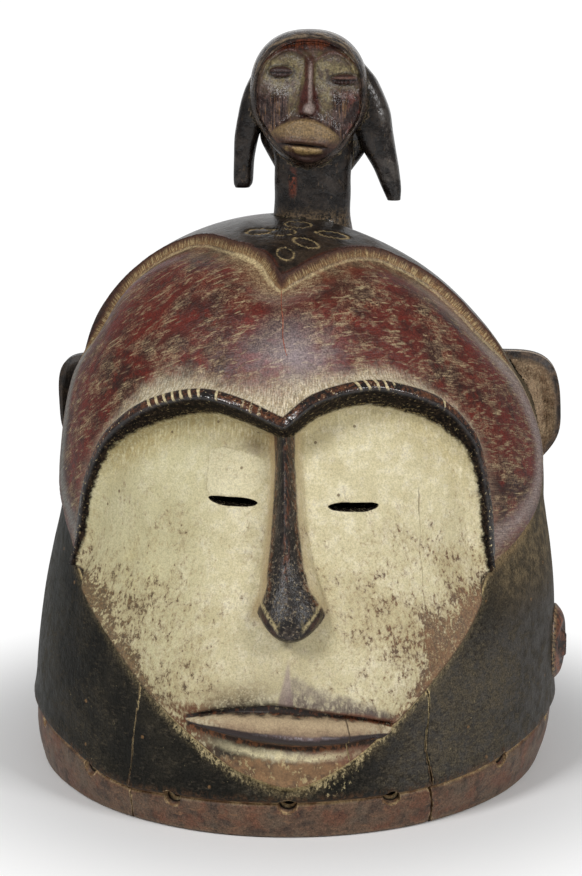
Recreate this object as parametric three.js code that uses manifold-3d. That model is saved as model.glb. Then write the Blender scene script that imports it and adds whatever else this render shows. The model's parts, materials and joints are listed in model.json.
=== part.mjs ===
// A helmet mask carved from one block of light wood: a bell-shaped hood with a flat rim, a
// heart-shaped white face in a hollow under a ridge of brows, a raised cap of hair, two ears, a
// small head cut in low relief on one side, and a neck and head with two tresses on top.
// Millimetres. +Z is up and the face looks along -Y. +X is on the right of someone looking at it.
import * as THREE from 'three';
import { mergeVertices } from 'three/addons/utils/BufferGeometryUtils.js';
import Module from 'manifold-3d';

const wasm = await Module();
wasm.setup();

// The hood: level outlines that are a little deeper than wide, on a centre line that leans.
const WAIST_RADIUS = 135;
const DOME_START = 150;
const DOME_RISE = 154;
const DOME_POWER = 2.1;
const DEPTH_OVER_WIDTH = 1.05;
const RADIUS_BELOW = [
  [0, 143.5], [14, 147.2], [40, 148.3], [71, 147], [100, 144], [122, 140.2], [138, 136.8], [150, 135]];
const LEAN = [
  [0, -1], [35, 0.8], [71, 2.3], [119, 5], [150, 5.8], [200, 5], [229, 3], [257, 0], [280, -1.5], [304, -1.5]];
const DOME_STRETCH = 146;
const DOME_TOP = DOME_START + DOME_STRETCH * Math.PI / 2;

// The hollow for the wearer's head.
const WALL = 14;
const CROWN_WALL = 20;
const RIM_THICK_BELOW = 6;
const WALL_BEHIND_FACE = 10;

// Places on the hood are (girth, height): girth is measured round from the front at this radius.
const GIRTH = 140;
const BROWS_LEFT = [
  [-138, 127], [-131, 164], [-117.5, 190.5], [-100, 206], [-79, 217.5], [-51, 224.5], [-26, 222], [0.5, 213]];
const BROWS_RIGHT = [
  [0.5, 213], [20, 224.5], [48.5, 229.5], [70, 226.5], [91, 219], [104, 207.5], [113, 189], [119, 133]];
const JAW = [
  [-138, 127], [-99.5, 102], [-63, 73], [-30.5, 48.5], [-13, 38], [8, 31.5], [26, 38.5], [54, 59.5],
  [96, 102], [119, 133]];
const HAIR_LEFT = [
  [-138, 127], [-160, 142], [-180, 160], [-189, 195], [-191, 240], [-190, 276], [-138, 293.5],
  [-68.5, 291.5], [-28.5, 285], [0.5, 272]];
const HAIR_RIGHT = [
  [0.5, 272], [29, 284.5], [69.5, 290], [113, 289.5], [149, 285.5], [180, 258], [192, 220], [192, 180],
  [170, 150], [119, 133]];
const GROOVE = [
  [-440, 31], [-200, 34], [-162, 32.5], [-121, 27.5], [-96, 20.5], [-77, 18], [-52, 20], [60, 22],
  [85, 22.5], [112, 24.5], [147, 29], [187, 33], [320, 34], [440, 31]];

// Depth of the face below the hood's plain form (negative is hollow), by height, in the middle and
// at its outer edge.
const FACE_MIDDLE = [
  [28, 4.5], [49, 7], [64, 8], [84, 6], [104, 3], [128, -2], [152, -7], [175, -11], [197, -14], [237, -12]];
const FACE_EDGE = [
  [28, 4.5], [64, 4], [104, 1], [128, -2], [152, -4], [175, -5], [207, -7], [237, -8]];
const FACE_EDGE_GIRTH = 112;
const JAW_LIP = 4.2;
const FOREHEAD_RAISE = 4;
const SIDE_HAIR_STEP = 3.8;
const CAP_RAISE = 3;
const CAP_BEVEL = 5.2;
const BROW_RAISE = 4.2;
const BROW_HALF_WIDTH = 5;

// The nose, by height.
const NOSE_LINE = [[108, 4.5], [127, 3.7], [145, 0.5], [165, -0.5], [213, -0.5]];
const NOSE_HALF_WIDTH = [
  [104, 14], [113, 16], [126, 17], [134, 15.8], [145, 13.8], [165, 11.4], [208, 9], [218, 6.5]];
const NOSE_HEIGHT = [[104, 17], [122, 19], [130, 18.5], [152, 16.5], [190, 15], [214, 16], [222, 10]];
const NOSE_TIP_HEIGHT = 108.5;
const NOSE_UNDER_SLOPE = 0.8;

// The mouth.
const MOUTH_LINE = [[-43, 67], [-28, 70.7], [-12, 71.7], [20, 70.3], [39, 68], [62, 61.7]];
const MOUTH_MIDDLE = 9;
const MOUTH_HALF_WIDTH = 53;
const UPPER_LIP = 2.4;
const LOWER_LIP = 4.6;
const LOWER_LIP_HEIGHT = 7.2;
const LIP_GAP = 3.2;

// The eye slits: girth, height, turn in degrees; and the row of holes along the groove.
const SLITS = [[-32.2, 173.7, -2], [38.5, 171.5, -1]];
const SLIT_LENGTH = 26.5;
const SLIT_OPENING = 5.2;
const RIM_HOLES = [-107, -52.5, 7, 59.5, 130, 189, 247, 305, 363, 421, -395, -337, -279, -221, -163];
const RIM_HOLE_RADIUS = 4;
const GROOVE_DEPTH = 2;
const RIM_BEVEL = 2.2;

// The ears: upright flaps with a dished front, standing off the middle line of each side.
const EAR_BACK = 12;
const EAR_ROOT = 7;
const EAR_REACH_LEFT = 139.5;
const EAR_REACH_RIGHT = 144.5;
const EAR_TOP_LEFT = 223;
const EAR_TOP_RIGHT = 228;
const EAR_BOTTOM = 165;
const EAR_THICKNESS = 12;
const EAR_DISH = 4;

// The small head in low relief on the right side.
const SIDE_HEAD_TURN = 84;
const SIDE_HEAD_HEIGHT = 67.5;
const SIDE_HEAD_HALF_WIDTH = 18;
const SIDE_HEAD_HALF_HEIGHT = 21.5;
const SIDE_HEAD_RAISE = 6;

// The crest: neck, head and tresses.
const NECK_MIDDLE = [10.4, 5];
const NECK_HALF_WIDTH = 21;
const NECK_HALF_DEPTH = 19;
const NECK_FOOT = 292;
const NECK_TOP = 352;
const HEAD_MIDDLE = [8.3, 4, 370.5];
const HEAD_HALF_WIDTH = 32.4;
const HEAD_ABOVE = 34.4;
const HEAD_BELOW = 40.5;
const HEAD_FRONT = 29;
const HEAD_BACK = 30;
const HEAD_YAW = -6;
const HEAD_POWER = 2.3;
const FRAME_EDGE = 0.88;
const FRAME_RAISE = 1.8;

const ease = (a, b, x) => {
  const t = Math.min(Math.max((x - a) / (b - a), 0), 1);
  return t * t * (3 - 2 * t);
};
const bump = (x, width) => Math.exp(-((x / width) ** 2));
const clamp = (x, low, high) => Math.min(Math.max(x, low), high);
const radians = (degrees) => degrees * Math.PI / 180;

// The value at x on a table of [x, value] pairs, level beyond its ends.
function table(pairs, x) {
  if (x <= pairs[0][0]) return pairs[0][1];
  for (let i = 1; i < pairs.length; i += 1) {
    const [x0, y0] = pairs[i - 1];
    const [x1, y1] = pairs[i];
    if (x <= x1) return y0 + (y1 - y0) * (x - x0) / (x1 - x0);
  }
  return pairs[pairs.length - 1][1];
}

// A smooth line through a few points, as many short steps.
function through(points, steps) {
  const curve = new THREE.CatmullRomCurve3(
    points.map(([a, b]) => new THREE.Vector3(a, b, 0)), false, 'centripetal');
  return curve.getPoints(steps * (points.length - 1)).map((p) => [p.x, p.y]);
}

const lean = (z) => table(LEAN, z);

// A quarter of a rounded outline: 1 at the foot of the dome, 0 at its top.
const domeShare = (h) => Math.max(1 - h ** DOME_POWER, 0) ** (1 / DOME_POWER);

function hoodRadius(z) {
  if (z > DOME_START) return WAIST_RADIUS * domeShare((z - DOME_START) / DOME_RISE);
  return table(RADIUS_BELOW, z);
}

// How far up the surface a height lies, so that steps near the crown stay even.
function climb(z) {
  if (z <= DOME_START) return z;
  return DOME_START + DOME_STRETCH * Math.asin(Math.min((z - DOME_START) / DOME_RISE, 1));
}

function heightAt(rise) {
  if (rise <= DOME_START) return rise;
  return DOME_START + DOME_RISE * Math.sin((rise - DOME_START) / DOME_STRETCH);
}

// A point of the plain hood, pushed out along its slope by lift.
function hoodPoint(girth, z, lift = 0) {
  const r = hoodRadius(z);
  let out = 1;
  let up = 0;
  if (z > DOME_START) {
    const h = (z - DOME_START) / DOME_RISE;
    out = (r / WAIST_RADIUS) ** (DOME_POWER - 1);
    up = h ** (DOME_POWER - 1) * WAIST_RADIUS / DOME_RISE;
  }
  const size = Math.hypot(out, up);
  return aroundAxis(girth, z, r + lift * out / size, lift * up / size);
}

// A point at a girth and height, this far from the centre line, and lifted straight up by rise.
function aroundAxis(girth, z, reach, rise = 0) {
  const turn = girth / GIRTH;
  return new THREE.Vector3(
    lean(z) + reach * Math.sin(turn), -reach * Math.cos(turn) * DEPTH_OVER_WIDTH, z + rise);
}

// A line of the carving: its places, and the same places on the plain hood.
function line(places) {
  return { places, spots: places.map(([girth, z]) => hoodPoint(girth, z)) };
}

const brows = line([...through(BROWS_LEFT, 6), ...through(BROWS_RIGHT, 6).slice(1)]);
const jaw = line(through(JAW, 5));
const hair = line([...through(HAIR_LEFT, 6), ...through(HAIR_RIGHT, 6).slice(1)]);

function distanceTo({ spots }, point) {
  let least = Infinity;
  const segment = new THREE.Line3();
  const near = new THREE.Vector3();
  for (let i = 1; i < spots.length; i += 1) {
    segment.set(spots[i - 1], spots[i]);
    segment.closestPointToPoint(point, true, near);
    least = Math.min(least, near.distanceTo(point));
  }
  return least;
}

function within(loop, girth, z) {
  let odd = false;
  for (let i = 0, j = loop.length - 1; i < loop.length; j = i, i += 1) {
    const [x0, z0] = loop[i];
    const [x1, z1] = loop[j];
    if ((z0 > z) !== (z1 > z) && girth < x0 + (x1 - x0) * (z - z0) / (z1 - z0)) odd = !odd;
  }
  return odd;
}

const faceLoop = [...brows.places, ...[...jaw.places].reverse()];
const foreheadLoop = [...hair.places, ...[...brows.places].reverse()];

// The lower edge of the nose: a shallow V.
function noseUnderside(girth) {
  const aside = Math.abs(girth - table(NOSE_LINE, NOSE_TIP_HEIGHT));
  return NOSE_TIP_HEIGHT + NOSE_UNDER_SLOPE * Math.min(aside, 18);
}

// The nose and mouth, as a rise above the face.
function noseAt(girth, z) {
  const middle = table(NOSE_LINE, z);
  const across = Math.abs(girth - middle) / table(NOSE_HALF_WIDTH, z);
  if (across >= 1) return 0;
  const fleshy = 1 - ease(122, 164, z);
  const roof = 1 - Math.sqrt(across * across + 0.012);
  const round = Math.sqrt(1 - across ** 2.2);
  const section = clamp((1 - fleshy) * Math.max(roof, 0) ** 0.9 + fleshy * round, 0, 1);
  const low = noseUnderside(girth);
  const high = low + 5 + 0.33 * Math.abs(girth - middle);
  return table(NOSE_HEIGHT, z) * section * clamp((z - low) / (high - low), 0, 1);
}

function mouthAt(girth, z) {
  const share = Math.sqrt(Math.max(1 - ((girth - MOUTH_MIDDLE) / MOUTH_HALF_WIDTH) ** 2, 0));
  const above = z - table(MOUTH_LINE, girth);
  const half = 1.5 + (LOWER_LIP_HEIGHT - 1.5) * share;
  const upper = UPPER_LIP * bump(above - 4.5, 4.2) * share;
  const gap = -LIP_GAP * bump(above, 2) * Math.min(share * 1.6, 1);
  const round = Math.sqrt(Math.max(1 - ((above + 1.2 + half) / half) ** 2, 0));
  const under = -1.8 * bump(above + 2.6 + 2 * half, 2.6) * share;
  return upper + gap + LOWER_LIP * share * round + under;
}

// The height of the carving above the plain hood.
function relief(girth, z) {
  const spot = hoodPoint(girth, z);
  const fromBrow = distanceTo(brows, spot);
  const fromJaw = distanceTo(jaw, spot);
  const fromHair = distanceTo(hair, spot);
  const inFace = within(faceLoop, girth, z);
  const inForehead = !inFace && within(foreheadLoop, girth, z);
  const high = ease(215, 250, z);
  let level;
  if (inFace) {
    const side = ease(45, FACE_EDGE_GIRTH, Math.abs(girth));
    let plane = table(FACE_MIDDLE, z) * (1 - side) + table(FACE_EDGE, z) * side;
    const free = ease(6, 22, fromBrow);
    plane += (JAW_LIP - plane) * bump(fromJaw, 9) * free + bump(fromJaw - 1.6, 1.6) * free;
    const nose = noseAt(girth, z);
    const chin = 1.6 * bump(z - 43, 8) * bump(girth - 8, 26);
    plane += nose + mouthAt(girth, z) + chin;
    const drop = 1 - ease(0.5, 8.5, fromBrow);
    level = Math.max(plane, plane - nose + (FOREHEAD_RAISE - plane + nose) * drop);
  } else if (inForehead) {
    const bevel = CAP_BEVEL * (1 - ease(0, 6.5, fromHair) * (1 - ease(5, 32, fromHair)));
    const top = FOREHEAD_RAISE - CAP_BEVEL + bevel;
    const side = SIDE_HAIR_STEP * ease(-1.5, 5.5, fromHair) * ease(127, 147, z);
    level = high * top + (1 - high) * side;
  } else {
    level = high * CAP_RAISE * Math.exp(-fromHair / 24);
    const zg = table(GROOVE, girth);
    level += z > zg ? 1.3 * bump(z - zg - 4, 4) : 0;
    level -= z < DOME_START ? 1.1 * bump(fromJaw - 1.8, 1.7) : 0;
  }
  if (inFace || inForehead) {
    const along = 1 - ease(85, 125, Math.abs(girth)) * ease(180, 215, 395 - z);
    const rise = BROW_RAISE * (0.33 + 0.67 * along);
    const half = BROW_HALF_WIDTH * (0.64 + 0.36 * along);
    level += rise * Math.sqrt(Math.max(1 - (fromBrow / half) ** 2, 0));
  }
  const zg = table(GROOVE, girth);
  if (z < zg) level = -1.2;
  level -= GROOVE_DEPTH * bump(z - zg, 1.8);
  level -= RIM_BEVEL * (1 - Math.sqrt(1 - (1 - clamp(z / RIM_BEVEL, 0, 1)) ** 2));
  return level * (1 - ease(DOME_TOP - 14, DOME_TOP - 2, climb(z)));
}

// The height of a line at a girth, held between limits.
const brow = (girth) => Math.max(table(brows.places, girth), 200);
const jawline = (girth) => Math.min(table(jaw.places, girth), girth < 0 ? 124 : 129);
const capLine = hair.places.filter(([girth, z]) => z > (girth < 0 ? 271 : 256) && girth < 181);

// The heights of the rows of facets at a girth, as distances climbed: rows lie along the carved
// lines, so that their edges come out clean.
function rowsAt(girth) {
  const groove = table(GROOVE, girth);
  const jawHeight = jawline(girth);
  const browHeight = climb(brow(girth));
  const mouth = Math.max(table(MOUTH_LINE, girth) + 2.5, jawHeight + 14);
  const nose = noseUnderside(girth);
  const cap = climb(Math.min(table(capLine, girth), 296));
  const marks = [
    [0, 1], [RIM_BEVEL, 1], [groove - 3, 1], [groove, 1], [groove + 3, 2],
    [jawHeight - 3.5, 1], [jawHeight + 1, 1], [jawHeight + 5, 2],
    [mouth - 11, 1], [mouth - 6.5, 1], [mouth - 2.5, 1], [mouth + 2.5, 3],
    [nose - 0.5, 1], [nose + 5, 8],
    [browHeight - 8, 1], [browHeight - 3.5, 1], [browHeight, 1], [browHeight + 4.5, 5],
    [cap - 6, 1], [cap - 0.5, 1], [cap + 2, 5], [DOME_TOP, 0]];
  for (let i = 1; i < marks.length; i += 1) {
    marks[i][0] = Math.max(marks[i][0], marks[i - 1][0] + 0.8);
  }
  return spread(marks);
}

// The girths of the columns at a height: they follow the ends of the brows and the nose.
const leftLimb = (z) => table([[127, -138], [164, -131], [190, -117.5], [201, -107]], z);
const rightLimb = (z) => table([[133, 119], [189, 113], [206, 105]], z);
const leftHair = (z) => table([[160, -180], [195, -189], [276, -190]], z);
const rightHair = (z) => table([[170, 186], [195, 193], [220, 192], [258, 180]], z);

function columnsAt(z) {
  const nose = table(NOSE_LINE, z);
  const half = table(NOSE_HALF_WIDTH, clamp(z, 104, 214));
  const back = Math.PI * GIRTH;
  const marks = [
    [-back, 7], [leftHair(z) - 3, 1], [leftHair(z) + 3.5, 5], [leftLimb(z) - 5, 1], [leftLimb(z) - 0.5, 1],
    [leftLimb(z) + 5, 14], [nose - half - 1, 1], [nose - half + 1.5, 1], [nose - half / 2, 1], [nose, 1],
    [nose + half / 2, 1], [nose + half - 1.5, 1], [nose + half + 1, 14], [rightLimb(z) - 5, 1],
    [rightLimb(z) + 0.5, 1], [rightLimb(z) + 5, 7], [rightHair(z) - 3.5, 1], [rightHair(z) + 3, 7], [back, 0]];
  return spread(marks);
}

// Splits the gap after each mark into as many even steps as the mark asks for.
function spread(marks) {
  const list = [];
  for (let i = 0; i + 1 < marks.length; i += 1) {
    const [from, steps] = marks[i];
    const to = marks[i + 1][0];
    for (let k = 0; k < steps; k += 1) list.push(from + (to - from) * k / steps);
  }
  list.push(marks[marks.length - 1][0]);
  return list;
}

// A closed solid from rows of points that run round an axis, with a point at each end.
function closed(rows, first, last) {
  const wide = rows[0].length;
  const spots = [...rows.flat(), first, last];
  const faces = [];
  for (let i = 0; i < rows.length; i += 1) {
    for (let j = 0; j < wide; j += 1) {
      const next = (j + 1) % wide;
      if (i === 0) faces.push(next, j, spots.length - 2);
      if (i === rows.length - 1) faces.push(i * wide + j, i * wide + next, spots.length - 1);
      if (i + 1 < rows.length) {
        const [a, b] = [i * wide + j, i * wide + next];
        faces.push(a, b, b + wide, a, b + wide, a + wide);
      }
    }
  }
  return toSolid(spots, faces);
}

// Faces that look inward are turned round, all together.
function toSolid(spots, faces) {
  let volume = 0;
  for (let i = 0; i < faces.length; i += 3) {
    const [a, b, c] = faces.slice(i, i + 3).map((k) => spots[k]);
    volume += a.dot(b.clone().cross(c));
  }
  return new wasm.Manifold(new wasm.Mesh({
    numProp: 3,
    vertProperties: new Float32Array(spots.flatMap((p) => [p.x, p.y, p.z])),
    triVerts: new Uint32Array(volume < 0 ? [...faces].reverse() : faces),
  }));
}

// The outside of the hood.
function outside() {
  const count = columnsAt(0).length - 1;
  const levels = rowsAt(0).length - 1;
  const rows = [];
  for (let i = 0; i < levels; i += 1) {
    const row = [];
    for (let j = 0; j < count; j += 1) {
      let girth = columnsAt(heightAt(rowsAt(0)[i]))[j];
      let z = 0;
      for (let k = 0; k < 4; k += 1) {
        z = heightAt(rowsAt(girth)[i]);
        girth = columnsAt(z)[j];
      }
      row.push(hoodPoint(girth, z, relief(girth, z)));
    }
    rows.push(row);
  }
  const top = heightAt(DOME_TOP);
  return closed(rows, new THREE.Vector3(0, 0, 0), new THREE.Vector3(0, 0, top));
}

// The hollow: the same bell drawn in by the thickness of the wall, and more behind the face.
function hollow() {
  const count = 32;
  const heights = [-20, 0, 40, 80, 115, 150, 180, 210, 235, 255, 270, 279];
  const top = DOME_START + DOME_RISE - CROWN_WALL;
  const rows = heights.map((z) => {
    const row = [];
    for (let j = 0; j < count; j += 1) {
      const girth = (j / count - 0.5) * 2 * Math.PI * GIRTH;
      const share = Math.max(z - DOME_START, 0) / (top - DOME_START);
      const plain = z > DOME_START
        ? (WAIST_RADIUS - WALL) * domeShare(share)
        : hoodRadius(Math.max(z, RIM_THICK_BELOW)) - WALL;
      const face = WALL_BEHIND_FACE * bump(girth, 90) * bump(z - 190, 60);
      row.push(aroundAxis(girth, z, plain - face));
    }
    return row;
  });
  return closed(rows, new THREE.Vector3(0, 0, -20), new THREE.Vector3(0, 0, top));
}

// A straight-sided cutter with the given outline, run through the wall at a place on the hood.
function throughWall(girth, z, outline) {
  const turn = girth / GIRTH;
  const side = new THREE.Vector3(Math.cos(turn), Math.sin(turn), 0);
  const ends = [95, 175].map((reach) => aroundAxis(girth, z, reach));
  const rows = ends.map((end) => outline.map(([a, b]) => end.clone()
    .addScaledVector(side, a).add(new THREE.Vector3(0, 0, b))));
  return closed(rows, ends[0], ends[1]);
}

function slit([girth, z, turn]) {
  const outline = [];
  for (let k = 0; k < 10; k += 1) {
    const a = k / 10 * 2 * Math.PI;
    const x = SLIT_LENGTH / 2 * Math.cos(a);
    const y = SLIT_OPENING / 2 * Math.sin(a);
    const t = radians(turn);
    outline.push([x * Math.cos(t) - y * Math.sin(t), x * Math.sin(t) + y * Math.cos(t)]);
  }
  return throughWall(girth, z, outline);
}

function rimHole(girth) {
  const outline = [];
  for (let k = 0; k < 8; k += 1) {
    const a = (k + 0.5) / 8 * 2 * Math.PI;
    outline.push([RIM_HOLE_RADIUS * Math.cos(a), RIM_HOLE_RADIUS * Math.sin(a)]);
  }
  return throughWall(girth, table(GROOVE, girth) + 0.5, outline);
}

// A rounded solid seen as rings round a viewing axis: front middle, rim, back middle.
function rings(count, steps, place) {
  const rows = steps.map(([q, front]) => {
    const row = [];
    for (let j = 0; j < count; j += 1) row.push(place(q, j / count * 2 * Math.PI, front));
    return row;
  });
  return closed(rows, place(0, 0, 1), place(0, 0, -1));
}

// An ear on the side given by 1 (right) or -1 (left): a D on its back, with a dished front.
function ear(side) {
  const top = side > 0 ? EAR_TOP_RIGHT : EAR_TOP_LEFT;
  const widest = side > 0 ? EAR_REACH_RIGHT : EAR_REACH_LEFT;
  const middle = (top + EAR_BOTTOM) / 2;
  const half = (top - EAR_BOTTOM) / 2;
  const steps = [[0.45, 1], [0.7, 1], [0.88, 1], [1, 1], [1, -1], [0.75, -1]];
  return rings(18, steps, (q, a, front) => {
    const s = Math.sin(a);
    const c = Math.cos(a);
    const z = middle + q * half * Math.sign(s) * Math.abs(s) ** 0.7;
    const root = hoodRadius(z) - EAR_ROOT;
    const reach = widest - root - 9 * ease(0, 1, -s) * Math.abs(s);
    const x = root + q * (c > 0 ? reach * c ** 0.5 : -2 * Math.abs(c) ** 0.5);
    const dish = front > 0 ? EAR_DISH * (1 - ease(0.5, 0.95, q)) : -1.5 * (1 - q);
    const y = EAR_BACK - front * EAR_THICKNESS / 2 + dish;
    return new THREE.Vector3(side * x + lean(z), y, z);
  });
}

// The small head on the side: a low oval boss with a hood over a hollowed face, which is set
// towards the front of the boss.
function sideHead() {
  const turn = radians(SIDE_HEAD_TURN);
  const out = new THREE.Vector3(Math.sin(turn), -Math.cos(turn), 0);
  const across = new THREE.Vector3(Math.cos(turn), Math.sin(turn), 0);
  const foot = hoodPoint(turn * GIRTH, SIDE_HEAD_HEIGHT, 0);
  const steps = [[0.25, 1], [0.5, 1], [0.72, 1], [0.9, 1], [1, 1], [1, -1]];
  return rings(18, steps, (q, a, front) => {
    const x = q * SIDE_HEAD_HALF_WIDTH * Math.cos(a);
    const z = q * SIDE_HEAD_HALF_HEIGHT * Math.sin(a);
    const dome = SIDE_HEAD_RAISE * (1 - q ** 4);
    const aside = x + 4;
    const hollowed = 3.5 * bump(Math.abs(aside) - 7, 4) * bump(z - 1, 6);
    const nose = 1.5 * bump(aside, 2.5) * bump(z + 1, 9);
    const h = front > 0 ? dome - hollowed + nose - 0.5 : -8;
    return foot.clone().addScaledVector(out, h).addScaledVector(across, x)
      .add(new THREE.Vector3(0, 0, z));
  });
}

// The face of the crest's head, as a rise above its plain front, in its own width and height.
function crestFace(x, z) {
  const noseHalf = 2.6 + 3.2 * ease(12, -8, z);
  const noseMiddle = -2.2 - 0.6 * ease(0, 10, -z);
  const along = ease(-14.5, -10.5, z) * (1 - ease(17, 25, z));
  const noseHeight = 5.5 + 2.5 * bump(z + 7, 7);
  const nose = noseHeight * along * Math.max(1 - (Math.abs(x - noseMiddle) / noseHalf) ** 1.5, 0);
  const eyes = 2.6 * bump(x + 15.2, 5.4) * bump(z - 10.4, 2.8)
    + 2.6 * bump(x - 18.5, 6.6) * bump(z - 6.2, 2.8);
  const sockets = -4 * bump(x + 14, 9) * bump(z - 9, 8) - 4 * bump(x - 16, 9) * bump(z - 6, 8);
  const muzzle = 4 * bump(x + 4, 15) * bump(z + 26, 9);
  const mouth = -3 * bump(x + 4, 11) * bump(z + 27.5, 2);
  return nose + eyes + sockets + muzzle + mouth;
}

function crestHead() {
  const yaw = radians(HEAD_YAW);
  const steps = [
    [0.12, 1], [0.24, 1], [0.36, 1], [0.48, 1], [0.6, 1], [0.7, 1], [0.79, 1], [FRAME_EDGE - 0.02, 1],
    [FRAME_EDGE + 0.02, 1], [0.955, 1], [1, 1], [0.97, -1], [0.86, -1], [0.68, -1], [0.42, -1]];
  return rings(32, steps, (q, a, front) => {
    const s = Math.sin(a);
    const c = Math.cos(a);
    const full = q / (Math.abs(s) ** HEAD_POWER + Math.abs(c) ** HEAD_POWER) ** (1 / HEAD_POWER);
    const x = full * HEAD_HALF_WIDTH * c;
    const z = full * (s > 0 ? HEAD_ABOVE : HEAD_BELOW) * s;
    let y;
    if (front > 0) {
      y = HEAD_FRONT * Math.max(1 - q ** 2.7, 0) ** (1 / 2.7);
      y += q < FRAME_EDGE ? crestFace(x, z) * (1 - ease(0.75, 0.86, q)) - FRAME_RAISE : 0;
    } else {
      y = -HEAD_BACK * Math.sqrt(Math.max(1 - q * q, 0));
    }
    return new THREE.Vector3(
      HEAD_MIDDLE[0] + x * Math.cos(yaw) + y * Math.sin(yaw),
      HEAD_MIDDLE[1] + x * Math.sin(yaw) - y * Math.cos(yaw),
      HEAD_MIDDLE[2] + z);
  });
}

// A bar with a rounded-box section, led through stations [x, y, z, half width, half depth].
function bar(stations, count, power) {
  const rows = stations.map(([x, y, z, halfWide, halfDeep]) => {
    const row = [];
    for (let j = 0; j < count; j += 1) {
      const a = (j + 0.5) / count * 2 * Math.PI;
      const c = Math.cos(a);
      const s = Math.sin(a);
      row.push(new THREE.Vector3(
        x + halfWide * Math.sign(c) * Math.abs(c) ** power,
        y + halfDeep * Math.sign(s) * Math.abs(s) ** power, z));
    }
    return row;
  });
  const [first, last] = [stations[0], stations[stations.length - 1]];
  return closed(rows, new THREE.Vector3(first[0], first[1], first[2]),
    new THREE.Vector3(last[0], last[1], last[2]));
}

function neck() {
  const [x, y] = NECK_MIDDLE;
  return bar([
    [x - 0.3, y, NECK_FOOT, NECK_HALF_WIDTH + 1.5, NECK_HALF_DEPTH + 1.5],
    [x - 0.3, y, 306, NECK_HALF_WIDTH, NECK_HALF_DEPTH],
    [x, y, 330, NECK_HALF_WIDTH, NECK_HALF_DEPTH],
    [x, y, NECK_TOP, NECK_HALF_WIDTH + 2, NECK_HALF_DEPTH]], 12, 0.85);
}

function tresses() {
  const left = bar([
    [-28.8, 9, 318.5, 4, 6.5], [-28.4, 9, 322, 5.2, 8], [-27.8, 9, 336, 5.6, 9],
    [-25.5, 9, 350, 7, 10], [-20.5, 9, 365, 9, 11], [-13.5, 9, 380, 10, 11], [-8, 9, 390, 6, 8]], 12, 0.7);
  const right = bar([
    [54.9, 10, 312, 3.6, 6.5], [53.4, 10, 319, 5.3, 8], [50.6, 10, 329, 6.9, 9],
    [46.8, 10, 338.5, 8.8, 10], [43, 10, 350, 11, 11], [38.6, 10, 362, 13, 11],
    [33, 10, 376, 13, 11], [28, 10, 386, 10, 8]], 12, 0.7);
  const nape = bar([
    [10.5, 13, 328, 21, 9], [11, 13, 338, 27, 11], [12, 13, 347, 31, 12], [11, 13, 362, 30, 13],
    [9, 13, 376, 24, 12]], 12, 0.8);
  return left.add(right).add(nape);
}

let mask = outside().subtract(hollow());
mask = mask.add(ear(1)).add(ear(-1)).add(sideHead());
mask = mask.add(neck().add(crestHead()).add(tresses()));
SLITS.forEach((place) => {
  mask = mask.subtract(slit(place));
});
RIM_HOLES.forEach((girth) => {
  mask = mask.subtract(rimHole(girth));
});

function toGeometry(solid) {
  const { vertProperties, triVerts } = solid.getMesh();
  const geometry = new THREE.BufferGeometry();
  geometry.setAttribute('position', new THREE.BufferAttribute(new Float32Array(vertProperties), 3));
  geometry.setIndex(new THREE.BufferAttribute(new Uint32Array(triVerts), 1));
  return geometry;
}

const geometry = mergeVertices(toGeometry(mask), 1e-4);
geometry.computeBoundingBox();
const box = geometry.boundingBox;
geometry.translate(-(box.min.x + box.max.x) / 2, -(box.min.y + box.max.y) / 2, -box.min.z);
geometry.computeVertexNormals();

const wood = new THREE.MeshStandardMaterial({ color: 0x4a3a2c, roughness: 0.62, metalness: 0 });
const piece = new THREE.Mesh(geometry, wood);
piece.name = 'helmet_mask';
const group = new THREE.Group();
group.name = 'songye_helmet_mask';
group.add(piece);
export default group;
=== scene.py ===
"""A carved wooden helmet mask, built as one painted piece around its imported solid.

The carving is worked out in millimetres, in the carver's own frame: the axis of the rim is upright,
the face looks along -Y, and a place on the hood is (girth, height), where girth is measured round
from the front. placed() turns those millimetres into metres in the row frame.
"""

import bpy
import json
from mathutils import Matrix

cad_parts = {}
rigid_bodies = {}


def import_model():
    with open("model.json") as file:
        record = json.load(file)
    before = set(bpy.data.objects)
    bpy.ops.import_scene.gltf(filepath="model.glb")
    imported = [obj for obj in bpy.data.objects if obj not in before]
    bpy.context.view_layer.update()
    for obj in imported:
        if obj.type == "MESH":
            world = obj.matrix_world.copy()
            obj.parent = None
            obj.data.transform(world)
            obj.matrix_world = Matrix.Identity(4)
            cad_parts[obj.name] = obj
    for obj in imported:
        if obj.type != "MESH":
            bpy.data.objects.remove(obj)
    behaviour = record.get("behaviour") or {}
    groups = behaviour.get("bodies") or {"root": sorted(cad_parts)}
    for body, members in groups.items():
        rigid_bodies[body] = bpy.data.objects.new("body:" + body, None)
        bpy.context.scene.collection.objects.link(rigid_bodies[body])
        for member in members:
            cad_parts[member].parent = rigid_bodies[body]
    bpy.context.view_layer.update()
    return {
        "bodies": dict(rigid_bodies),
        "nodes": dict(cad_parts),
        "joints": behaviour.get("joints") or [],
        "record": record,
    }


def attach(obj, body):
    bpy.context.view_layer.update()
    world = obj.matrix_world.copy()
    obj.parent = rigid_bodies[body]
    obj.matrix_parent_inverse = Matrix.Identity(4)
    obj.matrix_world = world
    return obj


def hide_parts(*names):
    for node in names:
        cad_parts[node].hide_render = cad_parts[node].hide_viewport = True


bl_info = {
    "name": "Carved helmet mask",
    "version": (1, 0, 0),
    "blender": (4, 5, 0),
    "location": "View3D > Sidebar > Mask",
    "description": "Carves and paints a bell-shaped helmet mask with a white face and a head on top",
    "category": "Object",
}

import json
import math

import bpy
import numpy as np
from mathutils import Vector

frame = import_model()

# From the axis of the rim to the middle of the whole object's box, in mm.
CENTRE_SHIFT = np.array([-3.32, 6.04, 0.0])
NODE = "helmet_mask"
PIECE = "carved_mask"

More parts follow.
